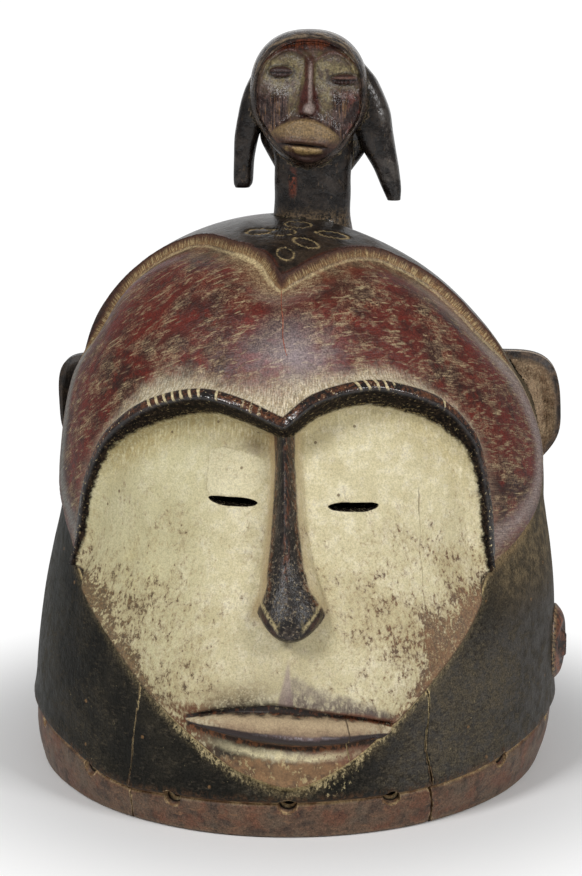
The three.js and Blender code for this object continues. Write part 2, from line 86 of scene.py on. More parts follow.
# The hood: level outlines, a little deeper than wide, on a centre line that leans.
WAIST_RADIUS = 135.0
DOME_START = 150.0
DOME_RISE = 154.0
DOME_POWER = 2.1
DEPTH_OVER_WIDTH = 1.05
GIRTH = 140.0
BACK = math.pi * GIRTH
DOME_STRETCH = 146.0
DOME_TOP = DOME_START + DOME_STRETCH * math.pi / 2
RADIUS_BELOW = [
    (0, 143.5), (14, 147.2), (40, 148.3), (71, 147), (100, 144), (122, 140.2), (138, 136.8), (150, 135)]
LEAN = [
    (0, -1), (35, 0.8), (71, 2.3), (119, 5), (150, 5.8), (200, 5), (229, 3), (257, 0), (280, -1.5),
    (304, -1.5)]
WALL = 14.0
CROWN_WALL = 20.0
RIM_THICK_BELOW = 6.0
WALL_BEHIND_FACE = 10.0
RIM_ROUNDING = 2.2
SHOULDER_LOWERED = 9.5
TEMPLE_LOWERED = 3.6
HOLLOW_HEIGHTS = [
    -20, 0, 20, 40, 60, 80, 100, 115, 130, 150, 165, 180, 195, 210, 222, 235, 246, 255, 263, 270, 276, 281]

# Lines of the carving, (girth, height).
BROWS_LEFT = [
    (-138, 127), (-131, 164), (-117.5, 190.5), (-100, 206), (-79, 217.5), (-51, 224.5), (-26, 222),
    (0.5, 213)]
BROWS_RIGHT = [
    (0.5, 213), (20, 224.5), (48.5, 229.5), (70, 226.5), (91, 219), (104, 207.5), (113, 189), (119, 133)]
JAW = [
    (-138, 127), (-99.5, 102), (-63, 73), (-30.5, 48.5), (-13, 38), (8, 31.5), (26, 38.5), (54, 59.5),
    (96, 102), (119, 133)]
HAIR_LEFT = [
    (-138, 127), (-160, 142), (-180, 160), (-190, 195), (-202, 240), (-204, 266), (-188, 283),
    (-162, 291.5), (-132, 294.2), (-100, 294.3), (-70, 293.2), (-40, 291.8), (-14.5, 288.2), (2.5, 280.5)]
HAIR_RIGHT = [
    (2.5, 280.5), (9.5, 281.6), (35.6, 287), (66, 290), (100, 290.6), (132, 287.5), (158, 276.7),
    (169.4, 261.5), (177, 243), (182.5, 230), (190, 205), (191, 180), (170, 150), (119, 133)]
GROOVE = [
    (-440, 31), (-200, 34), (-162, 32.5), (-121, 27.5), (-96, 20.5), (-77, 18), (-52, 20), (60, 22),
    (85, 22.5), (112, 24.5), (147, 29), (187, 33), (320, 34), (440, 31)]

# Depth of the face below the plain hood, by height, in its middle and at its outer edge.
FACE_MIDDLE = [
    (28, 4.5), (49, 7), (64, 8), (84, 6), (104, 3), (128, -2), (152, -7), (175, -11), (197, -14), (237, -12)]
FACE_EDGE = [(28, 4.5), (64, 4), (104, 1), (128, -2), (152, -4), (175, -5), (207, -7), (237, -8)]
FACE_EDGE_GIRTH = 112.0

# The nose, by height.
NOSE_LINE = [(108, 4.5), (127, 3.7), (145, 0.5), (165, -0.5), (213, -0.5)]
NOSE_HALF_WIDTH = [
    (104, 14), (113, 16), (126, 17), (134, 15.8), (145, 13.8), (165, 11.4), (208, 9), (218, 6.5)]
NOSE_HEIGHT = [(104, 17), (122, 19), (130, 18.5), (152, 16.5), (190, 15), (214, 16), (222, 10)]
NOSE_TIP_HEIGHT = 108.5
NOSE_UNDER_BOW = 0.042
NOSTRIL_SLOPE = 1.18
NOSE_PAINT = [(104, 17), (119, 17.5), (125, 15.5), (134, 10.5), (145, 9), (165, 7), (196, 5.6), (214, 6.5)]

# The mouth.
MOUTH_LINE = [(-43, 67), (-28, 70.7), (-12, 71.7), (20, 70.3), (39, 68), (62, 61.7)]
MOUTH_MIDDLE = 9.0
MOUTH_HALF_WIDTH = 53.0

# Cuts through the wall: eye slits (girth, height, turn in degrees) and cord holes in the groove.
SLITS = [(-32.2, 173.7, -2), (38.5, 171.5, -1)]
SLIT_LENGTH = 26.5
SLIT_OPENING = 5.2
CUTTER_REACH = (95.0, 175.0)
RIM_HOLES = [-107, -52.5, 7, 59.5, 130, 189, 247, 305, 363, 421, -395, -337, -279, -221, -163]
RIM_HOLE_RADIUS = 5.1
HOLE_BELOW_GROOVE = 2.4
# A cord hole from the inside out: depth from the surface, share of the radius, lift, and how dark it is: 0.3
# is painted shade, 1 a pale mouth, worn and painted as lit.
HOLE_STEPS = [
    (-40, 0.7, 10, 0.3), (-7.4, 0.74, 4.2, 0.3), (-6.6, 0.8, 3.6, 1), (-1, 1, 0.3, 1), (12, 1.1, -1.5, 1)]

# The least gaps between rows and between columns of the hood's grid, and rounds of settling it.
LEAST_CLIMB = 0.8
LEAST_GIRTH = 0.2
SETTLING_ROUNDS = 5

# Shrinkage cracks, as (girth, height, width) from the top down.
CRACK_RIGHT = [
    (74.5, 78, 0.25), (77.3, 71, 0.8), (76.3, 47.1, 1.0), (80.2, 27.6, 2.0), (83.5, 12, 2.6), (85, -3, 3.4)]
CRACK_LEFT = [(-72.8, 76, 0.25), (-75.2, 46.1, 0.8), (-77.3, 17.3, 1.1), (-78, -3, 1.8)]
CRACKS_FINE = [
    [(78.2, 178.2), (76.5, 150), (75.2, 122.7), (71.4, 94), (75.5, 80)],
    [(1.5, 276), (3, 262), (2.5, 254), (4.5, 246)],
    [(32.3, 70), (33.6, 62), (33, 55), (35.5, 46)],
    [(-33, 38), (-32, 29), (-34, 20)],
    [(131, 50), (133, 37), (132, 27)],
]

# Ovals cut in the crown of hair: girth, height, half length, half width, tilt in degrees.
OVALS = [
    (4.4, 289.9, 6.2, 4.4, 105), (32.5, 294.5, 8.3, 4.2, -50), (86, 297.1, 8.8, 4.2, -40),
    (-6, 298.9, 7, 4.8, 10), (32.5, 301.8, 7.5, 5.6, -20), (-52, 298.5, 7, 4, 20)]

# The ears.
EAR_BACK = 12.0
EAR_ROOT = 7.0
EAR_REACH = {1: 144.2, -1: 139.2}
EAR_TOP = {1: 228.0, -1: 223.0}
EAR_BOTTOM = 165.0
EAR_THICKNESS = 12.0
EAR_DISH = 4.0

# The small head in low relief on the right side.
SIDE_HEAD_TURN = 84.0
SIDE_HEAD_HEIGHT = 67.5
SIDE_HEAD_HALF = (18.0, 21.5)
SIDE_HEAD_RAISE = 6.0

# The crest: neck, head and tresses.
HEAD_MIDDLE = (8.3, 4.0, 370.5)
HEAD_HALF_WIDTH = 32.4
HEAD_ABOVE = 34.4
HEAD_BELOW = 40.5
HEAD_FRONT = 29.0
HEAD_BACK = 30.0
HEAD_YAW = math.radians(3)
HEAD_POWER = 2.3
CHIN_FORWARD = 8.0
FRAME_EDGE = 0.88
CREST_NOSE_EDGE = [(-10, 0.6), (-5, 1.0), (0, 0.2), (4, -0.1), (11, 1.0), (16.7, 1.6), (21.8, -0.7), (24, -4)]
CREST_NOSE_LEFT = [(-9, 6.5), (-5, 8), (3, 4.8), (13, 4), (20, 3)]
CREST_NOSE_RIGHT = [(-9, 3), (-5, 3.2), (3, 3.6), (13, 2.6), (20, 2.5)]
TRESS_LEFT = [
    (-28.8, 9, 318.5, 4, 6.5), (-28.4, 9, 322, 5.2, 8), (-27.8, 9, 336, 5.6, 9), (-25.5, 9, 350, 7, 10),
    (-20.5, 9, 365, 9, 11), (-13.5, 9, 380, 10, 11), (-8, 9, 390, 6, 8)]
TRESS_RIGHT = [
    (54.9, 10, 312, 3.6, 6.5), (53.4, 10, 319, 5.3, 8), (50.6, 10, 329, 6.9, 9), (46.8, 10, 338.5, 8.8, 10),
    (43, 10, 350, 11, 11), (38.6, 10, 362, 13, 11), (33, 10, 376, 13, 11), (28, 10, 386, 10, 8)]
NAPE = [
    (10.5, 13, 328, 21, 9), (11, 13, 338, 27, 11), (12, 13, 347, 31, 12), (11, 13, 362, 30, 13),
    (9, 13, 376, 24, 12)]
NECK = [(10.1, 5, 292, 22.5, 20.5), (10.1, 5, 306, 21, 19), (10.4, 5, 330, 21, 19), (10.4, 5, 352, 23, 19)]

# The fields that the paint reads, each a number at every point of the mesh: distances on the hood in
# mm, marks for the parts, and across, along and level on a part. On a cut, across sets how dark its painted
# shade is.
FIELDS = [
    "girth", "height", "face", "brow", "hair", "groove", "nose", "lip", "lip_half", "brow_run", "hair_run",
    "oval", "crack", "patch", "hood", "crest", "bars", "ear", "boss", "inside", "across", "along", "level"]
# What the fields hold on parts that none of the hood's lines reach.
AWAY = {
    "face": -40, "brow": 40, "hair": -40, "groove": 60, "nose": -10, "lip": 60, "oval": 30, "crack": 9,
    "patch": -40}

# Edges of the carving that turn by more than this are shaded sharp.
SHARP_ANGLE = math.radians(48)

# The studio. Places, sizes and distances are in metres, the lens in mm, and the shift in picture widths.
KEY_PLACE = (-0.7, -1.1, 1.15)
FILL_PLACE = (0.95, -0.9, 0.9)
LIGHT_SIZE = 0.4
LIGHT_TARGET = Vector((0, 0, 0.2))
FLOOR_HALF = 6.0
CAMERA_DISTANCE = 1.25
CAMERA_HEIGHT = 0.46
CAMERA_TURN = math.radians(4)
CAMERA_DOWN = math.radians(12.7)
CAMERA_LENS = 93.62
CAMERA_SHIFT = -2.5 / 876


# Small shapes of numbers


def ease(a, b, x):
    """0 below a and 1 above b, with a smooth S between (3t squared less 2t cubed)."""
    t = np.clip((x - a) / (b - a), 0, 1)
    return t * t * (3 - 2 * t)


def hump(x, width):
    """A bell curve, 1 at x = 0 and down to 1/e at one width."""
    return np.exp(-((x / width) ** 2))


def table(pairs, x):
    """The value at x on a table of (x, value) pairs, straight between them and level beyond."""
    known, values = np.array(pairs, float).T[:2]
    return np.interp(x, known, values)


def smooth_table(pairs, x):
    """The value at x on a smooth curve through a table, with its slopes from the neighbours."""
    known, values = np.array(pairs, float).T
    slopes = np.gradient(values, known)
    slopes[-1] = 0
    x = np.clip(x, known[0], known[-1])
    i = np.clip(np.searchsorted(known, x, "right") - 1, 0, len(known) - 2)
    gap = known[i + 1] - known[i]
    t = (x - known[i]) / gap
    start = values[i] * (1 + 2 * t) * (1 - t) ** 2 + gap * slopes[i] * t * (1 - t) ** 2
    return start + values[i + 1] * t * t * (3 - 2 * t) + gap * slopes[i + 1] * t * t * (t - 1)


def through(points, steps):
    """A smooth line through points, each stretch a cubic whose slope follows the neighbours."""
    p = np.array(points, float)
    p = np.vstack([2 * p[0] - p[1], p, 2 * p[-1] - p[-2]])
    t = np.linspace(0, 1, steps, endpoint=False)[None, :, None]
    a, b, c, d = (p[k : len(p) - 3 + k, None, :] for k in range(4))
    curve = 0.5 * (2 * b + (c - a) * t + (2 * a - 5 * b + 4 * c - d) * t**2 + (3 * b - a - 3 * c + d) * t**3)
    return np.vstack([curve.reshape(-1, p.shape[1]), p[-2]])


def ripple(x, y, seed, size):
    """Slow unevenness between -1 and 1: the mean of five waves that run in seeded directions."""
    rng = np.random.default_rng(seed)
    total = np.zeros(np.broadcast(x, y).shape)
    for turn, start, stretch in rng.uniform((0, 0, 0.7), (math.pi, math.tau, 1.4), (5, 3)):
        wave = (x * math.cos(turn) + y * math.sin(turn)) * math.tau / (size * stretch)
        total += np.sin(wave + start)
    return total / 5


# The plain hood


def dome_share(h):
    """A quarter of a rounded outline: 1 at the foot of the dome and 0 at its top."""
    return np.clip(1 - np.clip(h, 0, 1) ** DOME_POWER, 0, 1) ** (1 / DOME_POWER)


def hood_radius(z):
    """Radius of the hood: a table below the waist, and a rounded dome above it."""
    above = WAIST_RADIUS * dome_share((z - DOME_START) / DOME_RISE)
    return np.where(z > DOME_START, above, smooth_table(RADIUS_BELOW, z))


def climb(z):
    """The distance climbed up the surface at a height."""
    share = np.clip((z - DOME_START) / DOME_RISE, 0, 1)
    return np.where(z > DOME_START, DOME_START + DOME_STRETCH * np.arcsin(share), z)


def height_at(rise):
    """The height at a distance climbed, the reverse of climb."""
    turn = np.clip((rise - DOME_START) / DOME_STRETCH, 0, math.pi / 2)
    return np.where(rise > DOME_START, DOME_START + DOME_RISE * np.sin(turn), rise)


def round_axis(girth, z, reach, rise=0.0):
    """Points at a girth and height, this far from the leaning centre line, and lifted by rise."""
    turn = girth / GIRTH
    x = smooth_table(LEAN, z) + reach * np.sin(turn)
    return np.stack(np.broadcast_arrays(x, -reach * np.cos(turn) * DEPTH_OVER_WIDTH, z + rise), -1)


def hood_point(girth, z, lift=0.0):
    """Points of the plain hood, pushed out along its slope by lift."""
    radius = hood_radius(z)
    share = np.clip((z - DOME_START) / DOME_RISE, 0, 1)
    out = np.where(z > DOME_START, (radius / WAIST_RADIUS) ** (DOME_POWER - 1), 1.0)
    up = share ** (DOME_POWER - 1) * WAIST_RADIUS / DOME_RISE
    size = np.hypot(out, up)
    return round_axis(girth, z, radius + lift * out / size, lift * up / size)


# Lines on the hood


class Line:
    """A line of the carving: its places, the same places in space, and the run along it."""

    def __init__(self, places):
        self.places = np.array(places, float)
        self.spots = hood_point(self.places[:, 0], self.places[:, 1])
        steps = np.linalg.norm(np.diff(self.spots, axis=0), axis=1)
        self.run = np.concatenate([[0], np.cumsum(steps)])

    def nearest(self, points):
        """Distance from each point to the line, and how far along the line its nearest spot is."""
        best = np.full(len(points), 1e9)
        run = np.zeros(len(points))
        for k, (a, b) in enumerate(zip(self.spots[:-1], self.spots[1:])):
            along = b - a
            t = np.clip((points - a) @ along / (along @ along), 0, 1)
            distance = np.linalg.norm(points - a - t[:, None] * along, axis=1)
            closer = distance < best
            best = np.where(closer, distance, best)
            run = np.where(closer, self.run[k] + t * (self.run[k + 1] - self.run[k]), run)
        return best, run


def within(loop, girth, z):
    """True inside a closed loop of places: a level ray from inside crosses it an odd number of times."""
    odd = np.zeros(girth.shape, bool)
    for (x0, z0), (x1, z1) in zip(np.roll(loop, 1, 0), loop):
        crosses = (z0 > z) != (z1 > z)
        slope = (x1 - x0) / (z1 - z0 if z1 != z0 else 1.0)
        odd ^= crosses & (girth < x0 + slope * (z - z0))
    return odd


BROWS = Line(np.vstack([through(BROWS_LEFT, 9)[:-1], through(BROWS_RIGHT, 9)]))
JAWLINE = Line(through(JAW, 9))
HAIRLINE = Line(np.vstack([through(HAIR_LEFT, 8)[:-1], through(HAIR_RIGHT, 8)]))
FACE_LOOP = np.vstack([BROWS.places, JAWLINE.places[::-1]])
FOREHEAD_LOOP = np.vstack([HAIRLINE.places, BROWS.places[::-1]])
PATCH_LOOP = np.array([
    (-50, 201), (-49, 180), (-46, 176), (-35, 177), (-24, 178), (-16, 182.5), (-12, 191), (-14, 198),
    (-28, 201.5), (-41, 203)])


# The carving of the hood


def nose_underside(girth):
    """Height of the nose's lower edge: a bow, lowest in the middle."""
    aside = np.abs(girth - table(NOSE_LINE, NOSE_TIP_HEIGHT))
    return NOSE_TIP_HEIGHT + NOSE_UNDER_BOW * np.minimum(aside, 18) ** 2


def nose_rise(girth, z):
    """The nose above the face: a roof between the eyes that rounds into a dome at the nostrils."""
    middle = table(NOSE_LINE, z)
    across = np.abs(girth - middle) / table(NOSE_HALF_WIDTH, z)
    fleshy = 1 - ease(122, 164, z)
    roof = np.clip(1 - np.sqrt(across**2 + 0.012), 0, 1) ** 0.9
    dome = np.sqrt(np.clip(1 - across**2.2, 0, 1))
    section = np.clip((1 - fleshy) * roof + fleshy * dome, 0, 1)
    low = nose_underside(girth)
    share = np.clip((z - low) / 7, 0, 1)
    rise = table(NOSE_HEIGHT, z) * section * np.sqrt(share * (2 - share))
    aside = np.abs(girth - middle)
    wing = 1.5 * hump(z - NOSE_TIP_HEIGHT - NOSTRIL_SLOPE * aside, 1.5) * ease(4, 7, aside)
    return np.where(across < 1, np.maximum(rise - wing * section, 0), 0)


def mouth_rise(girth, z):
    """The lips above the face: a gap under the clay's edge, and a full lower lip with pointed corners."""
    share = np.clip(1 - ((girth - MOUTH_MIDDLE) / MOUTH_HALF_WIDTH) ** 2, 0, 1) ** 0.9
    above = z - smooth_table(MOUTH_LINE, girth)
    half = 0.5 + 6.8 * share
    gap = 1.0 + 3.4 * hump(girth - 1, 24)
    upper = 1.6 * hump(above - gap - 3, 3.4) * np.sqrt(share)
    cut = -3.0 * ease(-1.4, 0.2, above) * (1 - ease(gap - 0.6, gap + 0.8, above)) * np.minimum(share * 2.5, 1)
    lower = 5.2 * np.sqrt(share) * np.sqrt(np.clip(1 - ((above + 1 + half) / half) ** 2, 0, 1))
    under = -1.8 * hump(above + 2.6 + 2 * half, 2.6) * share
    philtrum = 1.3 * hump(girth - 4.5, 2.4) * ease(73, 78, z) * (1 - ease(84, 95, z))
    hollows = -0.9 * (hump(girth + 1.5, 3) + hump(girth - 10.5, 3)) * ease(74, 79, z) * (1 - ease(84, 95, z))
    return upper + cut + lower + under + philtrum + hollows, above, half


def face_level(girth, z, to_brow, to_jaw):
    """The hollowed face: a plane with mouth, chin and lids, the nose, and the drop from the brows."""
    side = ease(45, FACE_EDGE_GIRTH, np.abs(girth))
    plane = smooth_table(FACE_MIDDLE, z) * (1 - side) + smooth_table(FACE_EDGE, z) * side
    free = ease(6, 22, to_brow)
    plane = plane + (4.2 - plane) * hump(to_jaw, 9) * free + hump(to_jaw - 1.6, 1.6) * free
    mouth, above, half = mouth_rise(girth, z)
    chin = 1.6 * hump(z - 43, 8) * hump(girth - 8, 26)
    lids = 1.6 * hump(z - 183, 13) * (hump(girth + 33, 20) + hump(girth - 38, 20))
    flesh = plane + mouth + chin + lids + 0.35 * ripple(girth, z, 4, 34)
    drop = 1 - ease(0.5, 8.5, to_brow)
    return np.maximum(flesh + nose_rise(girth, z), flesh + (4 - flesh) * drop), above, half


def forehead_level(girth, z, to_hair, high):
    """The forehead: a bevel down from the hair's edge high up, and a step at the temples lower down."""
    bevel = 5.2 * (1 - ease(0, 6.5, to_hair) * (1 - ease(5, 32, to_hair)))
    temple = 3.8 * ease(-1.5, 5.5, to_hair) * ease(127, 147, z)
    forehead = high * (4 - 5.2 + bevel) + (1 - high) * temple + 0.4 * ripple(girth, z, 5, 60)
    return forehead - TEMPLE_LOWERED * hump(girth + 190, 34) * hump(z - 249, 17)


def body_level(girth, z, to_hair, to_jaw, groove, high):
    """The hood outside the face: a swell at the hair's edge and over the groove, a lower right shoulder."""
    body = high * 3.4 * np.exp(-to_hair / 24) + np.where(z > groove, 1.3 * hump(z - groove - 4, 4), 0)
    body = body - np.where(z < DOME_START, 0.6 * hump(to_jaw - 1.6, 1.3), 0)
    body = body + 0.7 * ripple(girth, z * 0.5, 6, 46) * ease(0, 20, z - groove) * (1 - ease(230, 270, z))
    shoulder = SHOULDER_LOWERED * ease(-1, -34, -to_hair) * ease(140, 225, girth)
    return body - shoulder * (1 - ease(300, 400, girth)) * ease(205, 240, z)


def oval_distance(girth, z):
    """Distance to the nearest oval's line in mm, negative inside it, measured on the surface."""
    nearest = np.full(girth.shape, 30.0)
    for x0, z0, long, short, tilt in OVALS:
        x = (girth - x0) / GIRTH * hood_radius(z)
        y = climb(z) - climb(np.array(z0))
        c, n = math.cos(math.radians(tilt)), math.sin(math.radians(tilt))
        reach = np.hypot((x * c + y * n) / long, (y * c - x * n) / short)
        nearest = np.minimum(nearest, (reach - 1) * short)
    return nearest


def relief(girth, z):
    """Height of the carving above the plain hood, with the fields that place its paint.

    Each region has its own plane, and they meet at the carved lines: the brow is a rounded bar, the
    cap of hair ends in a bevel, and the face falls away from the brows and comes out to the jaw.
    """
    spot = hood_point(girth, z)
    to_brow, brow_run = BROWS.nearest(spot)
    to_jaw, _ = JAWLINE.nearest(spot)
    to_hair, hair_run = HAIRLINE.nearest(spot)
    in_face = within(FACE_LOOP, girth, z)
    in_forehead = within(FOREHEAD_LOOP, girth, z) & ~in_face
    groove = table(GROOVE, girth)
    high = ease(215, 250, z)
    face, above, half = face_level(girth, z, to_brow, to_jaw)
    forehead = forehead_level(girth, z, to_hair, high)
    body = body_level(girth, z, to_hair, to_jaw, groove, high)
    level = np.where(in_face, face, np.where(in_forehead, forehead, body))

    strong = 1 - ease(85, 125, np.abs(girth)) * ease(180, 215, 395 - z)
    bar = np.sqrt(np.clip(1 - (to_brow / (5 * (0.64 + 0.36 * strong))) ** 2, 0, 1))
    level = level + np.where(in_face | in_forehead, 4.2 * (0.33 + 0.67 * strong) * bar, 0)
    level = np.where(z < groove, -1.2 + 0.35 * ripple(girth, z, 7, 50), level) - 2 * hump(z - groove, 1.5)
    foot = np.clip(z / RIM_ROUNDING, 0, 1)
    level = level - RIM_ROUNDING * (1 - np.sqrt(np.clip(1 - (1 - foot) ** 2, 0, 1)))
    oval = oval_distance(girth, z)
    level = level - 0.7 * hump(oval, 0.8) * (1 - ease(0, 6, -to_hair))
    patch = near_loop(PATCH_LOOP, girth, z)
    level = level + 0.55 * ease(-0.6, 0.6, patch)
    level = level * (1 - ease(DOME_TOP - 14, DOME_TOP - 2, climb(z))) - 0.5 * (1 - ease(110, 150, z))

    nose_paint = table(NOSE_PAINT, z) - np.abs(girth - table(NOSE_LINE, z))
    nose_paint = np.minimum(np.minimum(nose_paint, (z - nose_underside(girth)) * 0.8 + 1), 214 - z)
    fields = {
        "girth": girth,
        "height": z,
        "face": np.where(in_face, 1, -1) * np.minimum(to_brow, to_jaw),
        "brow": np.where(in_face, -to_brow, to_brow),
        "hair": np.where(in_forehead | in_face, to_hair, -to_hair),
        "groove": z - groove,
        "nose": np.where(in_face, nose_paint, -10),
        "lip": above,
        "lip_half": half,
        "brow_run": brow_run,
        "hair_run": hair_run,
        "oval": oval,
        "patch": patch,
        "crack": fine_crack(girth, z),
        "level": level,
    }
    return level, fields


def near_loop(loop, girth, z):
    """Signed distance to a closed loop of places, positive inside."""
    best = np.full(girth.shape, 1e9)
    for a, b in zip(np.roll(loop, 1, 0), loop):
        along = b - a
        t = np.clip(((girth - a[0]) * along[0] + (z - a[1]) * along[1]) / (along @ along), 0, 1)
        best = np.minimum(best, np.hypot(girth - a[0] - t * along[0], z - a[1] - t * along[1]))
    return np.where(within(loop, girth, z), best, -best)


def fine_crack(girth, z):
    """Sideways distance to the nearest hair crack at this height, with its sign, and 9 where none runs."""
    best = np.full(girth.shape, 9.0)
    for places in CRACKS_FINE:
        x, y = np.array(places[::-1], float).T
        aside = girth - np.interp(z, y, x) + 0.3 * np.sin(z * 0.31)
        ends = np.maximum(np.maximum(y[0] - z, z - y[-1]), 0)
        aside = np.where(aside < 0, -1, 1) * (np.abs(aside) + ends)
        best = np.where(np.abs(aside) < np.abs(best), aside, best)
    return best


# The grid of the hood: rows and columns follow the carved lines


def brow_height(girth):
    """Height of the brows' line, level beyond the temples."""
    return np.maximum(table(BROWS.places, girth), 200)


def jaw_height(girth):
    """Height of the jaw line, level beyond its ends."""
    return np.minimum(table(JAWLINE.places, girth), np.where(girth < 0, 124, 129))


def cap_height(girth):
    """Height of the hair's front edge, where it runs over the crown."""
    x, z = HAIRLINE.places.T
    keep = (z > np.where(x < 0, 271, 256)) & (x < 181)
    return np.minimum(np.interp(girth, x[keep], z[keep]), 296)


def row_marks(girth):
    """Distances climbed at which rows are pinned, and how many rows follow each."""
    groove = table(GROOVE, girth)
    jaw = jaw_height(girth)
    brow = climb(brow_height(girth))
    mouth = np.maximum(table(MOUTH_LINE, girth) + 2.5, jaw + 14)
    nose = nose_underside(girth)
    cap = climb(cap_height(girth))
    zero = girth * 0
    marks = [
        (zero, 3), (zero + RIM_ROUNDING, 6), (groove - 3, 4), (groove, 4), (groove + 3, 16),
        (jaw - 3.5, 4), (jaw + 1, 4),
        (jaw + 5, 13), (mouth - 11, 5), (mouth - 6.5, 5), (mouth - 2.5, 7), (mouth + 2.5, 19),
        (nose - 0.5, 6), (nose + 5, 52), (brow - 8, 5), (brow - 3.5, 5), (brow, 5), (brow + 4.5, 30),
        (cap - 6, 7), (cap - 0.5, 5), (cap + 2, 26), (zero + DOME_TOP, 0)]
    return marks, LEAST_CLIMB


def column_marks(z):
    """Girths at which columns are pinned, and how many columns follow each."""
    nose = table(NOSE_LINE, z)
    half = table(NOSE_HALF_WIDTH, np.clip(z, 104, 214))
    left_hair = table([(160, -180), (195, -190), (240, -202), (268, -204)], z)
    left_limb = table([(127, -138), (164, -131), (190, -117.5), (201, -107)], z)
    right_limb = table([(133, 119), (189, 113), (206, 105)], z)
    right_hair = table([(170, 187), (195, 191), (230, 182.5), (258, 171)], z)
    zero = z * 0
    marks = [
        (zero - BACK, 34), (left_hair - 3, 5), (left_hair + 3.5, 20), (left_limb - 5, 4),
        (left_limb - 0.5, 5), (left_limb + 5, 66), (nose - half - 1, 3), (nose - half + 1.5, 4),
        (nose - half / 2, 5), (nose, 5), (nose + half / 2, 4), (nose + half - 1.5, 3),
        (nose + half + 1, 60), (right_limb - 5, 5), (right_limb + 0.5, 4), (right_limb + 5, 28),
        (right_hair - 3.5, 5), (right_hair + 3, 34), (zero + BACK, 0)]
    return marks, LEAST_GIRTH


def pinned(marks, least, index):
    """The value of grid line number index, where lines are spread evenly between pinned marks."""
    values = [np.array(marks[0][0], float)]
    for value, _ in marks[1:]:
        values.append(np.maximum(value, values[-1] + least))
    counts = np.array([count for _, count in marks])
    starts = np.concatenate([[0], np.cumsum(counts)])
    gap = np.clip(np.searchsorted(starts, index, "right") - 1, 0, len(marks) - 2)
    share = (index - starts[gap]) / np.maximum(counts[gap], 1)
    stack = np.stack(values)
    low = np.take_along_axis(stack, gap[None], 0)[0]
    high = np.take_along_axis(stack, gap[None] + 1, 0)[0]
    return low + (high - low) * share


def hood_grid():
    """Girths and heights of the grid. Rows and columns bend round each other, so a few rounds settle them."""
    rows = sum(count for _, count in row_marks(np.zeros(1))[0])
    columns = sum(count for _, count in column_marks(np.zeros(1))[0])
    i, j = np.meshgrid(np.arange(rows), np.arange(columns), indexing="ij")
    z = height_at(pinned(*row_marks(np.zeros(i.shape)), i))
    girth = pinned(*column_marks(z), j)
    for _ in range(SETTLING_ROUNDS):
        z = height_at(pinned(*row_marks(girth), i))
        girth = pinned(*column_marks(z), j)
    return girth, z


# Meshes


def placed(points):
    """Millimetres in the carver's frame to metres in the row frame."""
    return (np.asarray(points, float) + CENTRE_SHIFT) / 1000


def loft_faces(rows, columns):
    """Quads between rows of points that run right round, with a fan to a point at each end."""
    i, j = np.meshgrid(np.arange(rows - 1), np.arange(columns), indexing="ij")
    after = (j + 1) % columns
    low, high = i * columns, (i + 1) * columns
    quads = np.stack([low + j, low + after, high + after, high + j], -1)
    k = np.arange(columns)
    first, last = rows * columns, rows * columns + 1
    base = (rows - 1) * columns
    foot = np.stack([(k + 1) % columns, k, np.full(columns, first)], -1)
    head = np.stack([base + k, base + (k + 1) % columns, np.full(columns, last)], -1)
    return quads.reshape(-1, 4), np.vstack([foot, head])


def signed_volume(points, quads, fans):
    """Six times the volume that the faces close in, negative if they look inwards."""
    corners = np.vstack([quads[:, [0, 1, 2]], quads[:, [0, 2, 3]], fans])
    a, b, c = (points[corners[:, k]] for k in range(3))
    return np.einsum("ij,ij->", a, np.cross(b, c))


def loft(name, rows, first, last, fields=None):
    """A closed mesh object from an array of rows of points and its two end points, faces outwards."""
    count, columns = rows.shape[:2]
    points = np.vstack([rows.reshape(-1, 3), first, last])
    quads, fans = loft_faces(count, columns)
    if signed_volume(points, quads, fans) < 0:
        quads, fans = quads[:, ::-1], fans[:, ::-1]
    mesh = bpy.data.meshes.new(name)
    mesh.from_pydata(placed(points).tolist(), [], quads.tolist() + fans.tolist())
    for field in FIELDS:
        value = (fields or {}).get(field, AWAY.get(field, 0.0))
        spread = np.broadcast_to(np.asarray(value, float), (count, columns)).ravel()
        ends = [spread[:columns].mean(), spread[-columns:].mean()]
        attribute = mesh.attributes.new(field, "FLOAT", "POINT")
        attribute.data.foreach_set("value", np.append(spread, ends).astype(np.float32))
    obj = bpy.data.objects.new(name, mesh)
    bpy.context.scene.collection.objects.link(obj)
    return obj


def combine(target, tool, operation):
    """Joins tool to target or cuts it away, and removes it."""
    modifier = target.modifiers.new("shape", "BOOLEAN")
    modifier.solver = "MANIFOLD"
    modifier.operation = operation
    modifier.object = tool
    ready = target.evaluated_get(bpy.context.evaluated_depsgraph_get())
    made = bpy.data.meshes.new_from_object(ready)
    target.modifiers.clear()
    old = target.data
    target.data = made
    bpy.data.meshes.remove(old)
    tool_mesh = tool.data
    bpy.data.objects.remove(tool)
    bpy.data.meshes.remove(tool_mesh)
    if len(made.polygons) == 0:
        raise RuntimeError(f"{operation} left nothing of {target.name}")


def hood_outside():
    """The hood's outside: the plain bell pushed out by the carving at each place of the grid."""
    girth, z = hood_grid()
    level, fields = relief(girth.ravel(), z.ravel())
    points = hood_point(girth, z, level.reshape(girth.shape))
    fields = {name: value.reshape(girth.shape) for name, value in fields.items()}
    top = float(height_at(np.array(DOME_TOP)))
    return loft("hood", points, (0, 0, 0), (0, 0, top), {**fields, "hood": 1.0})


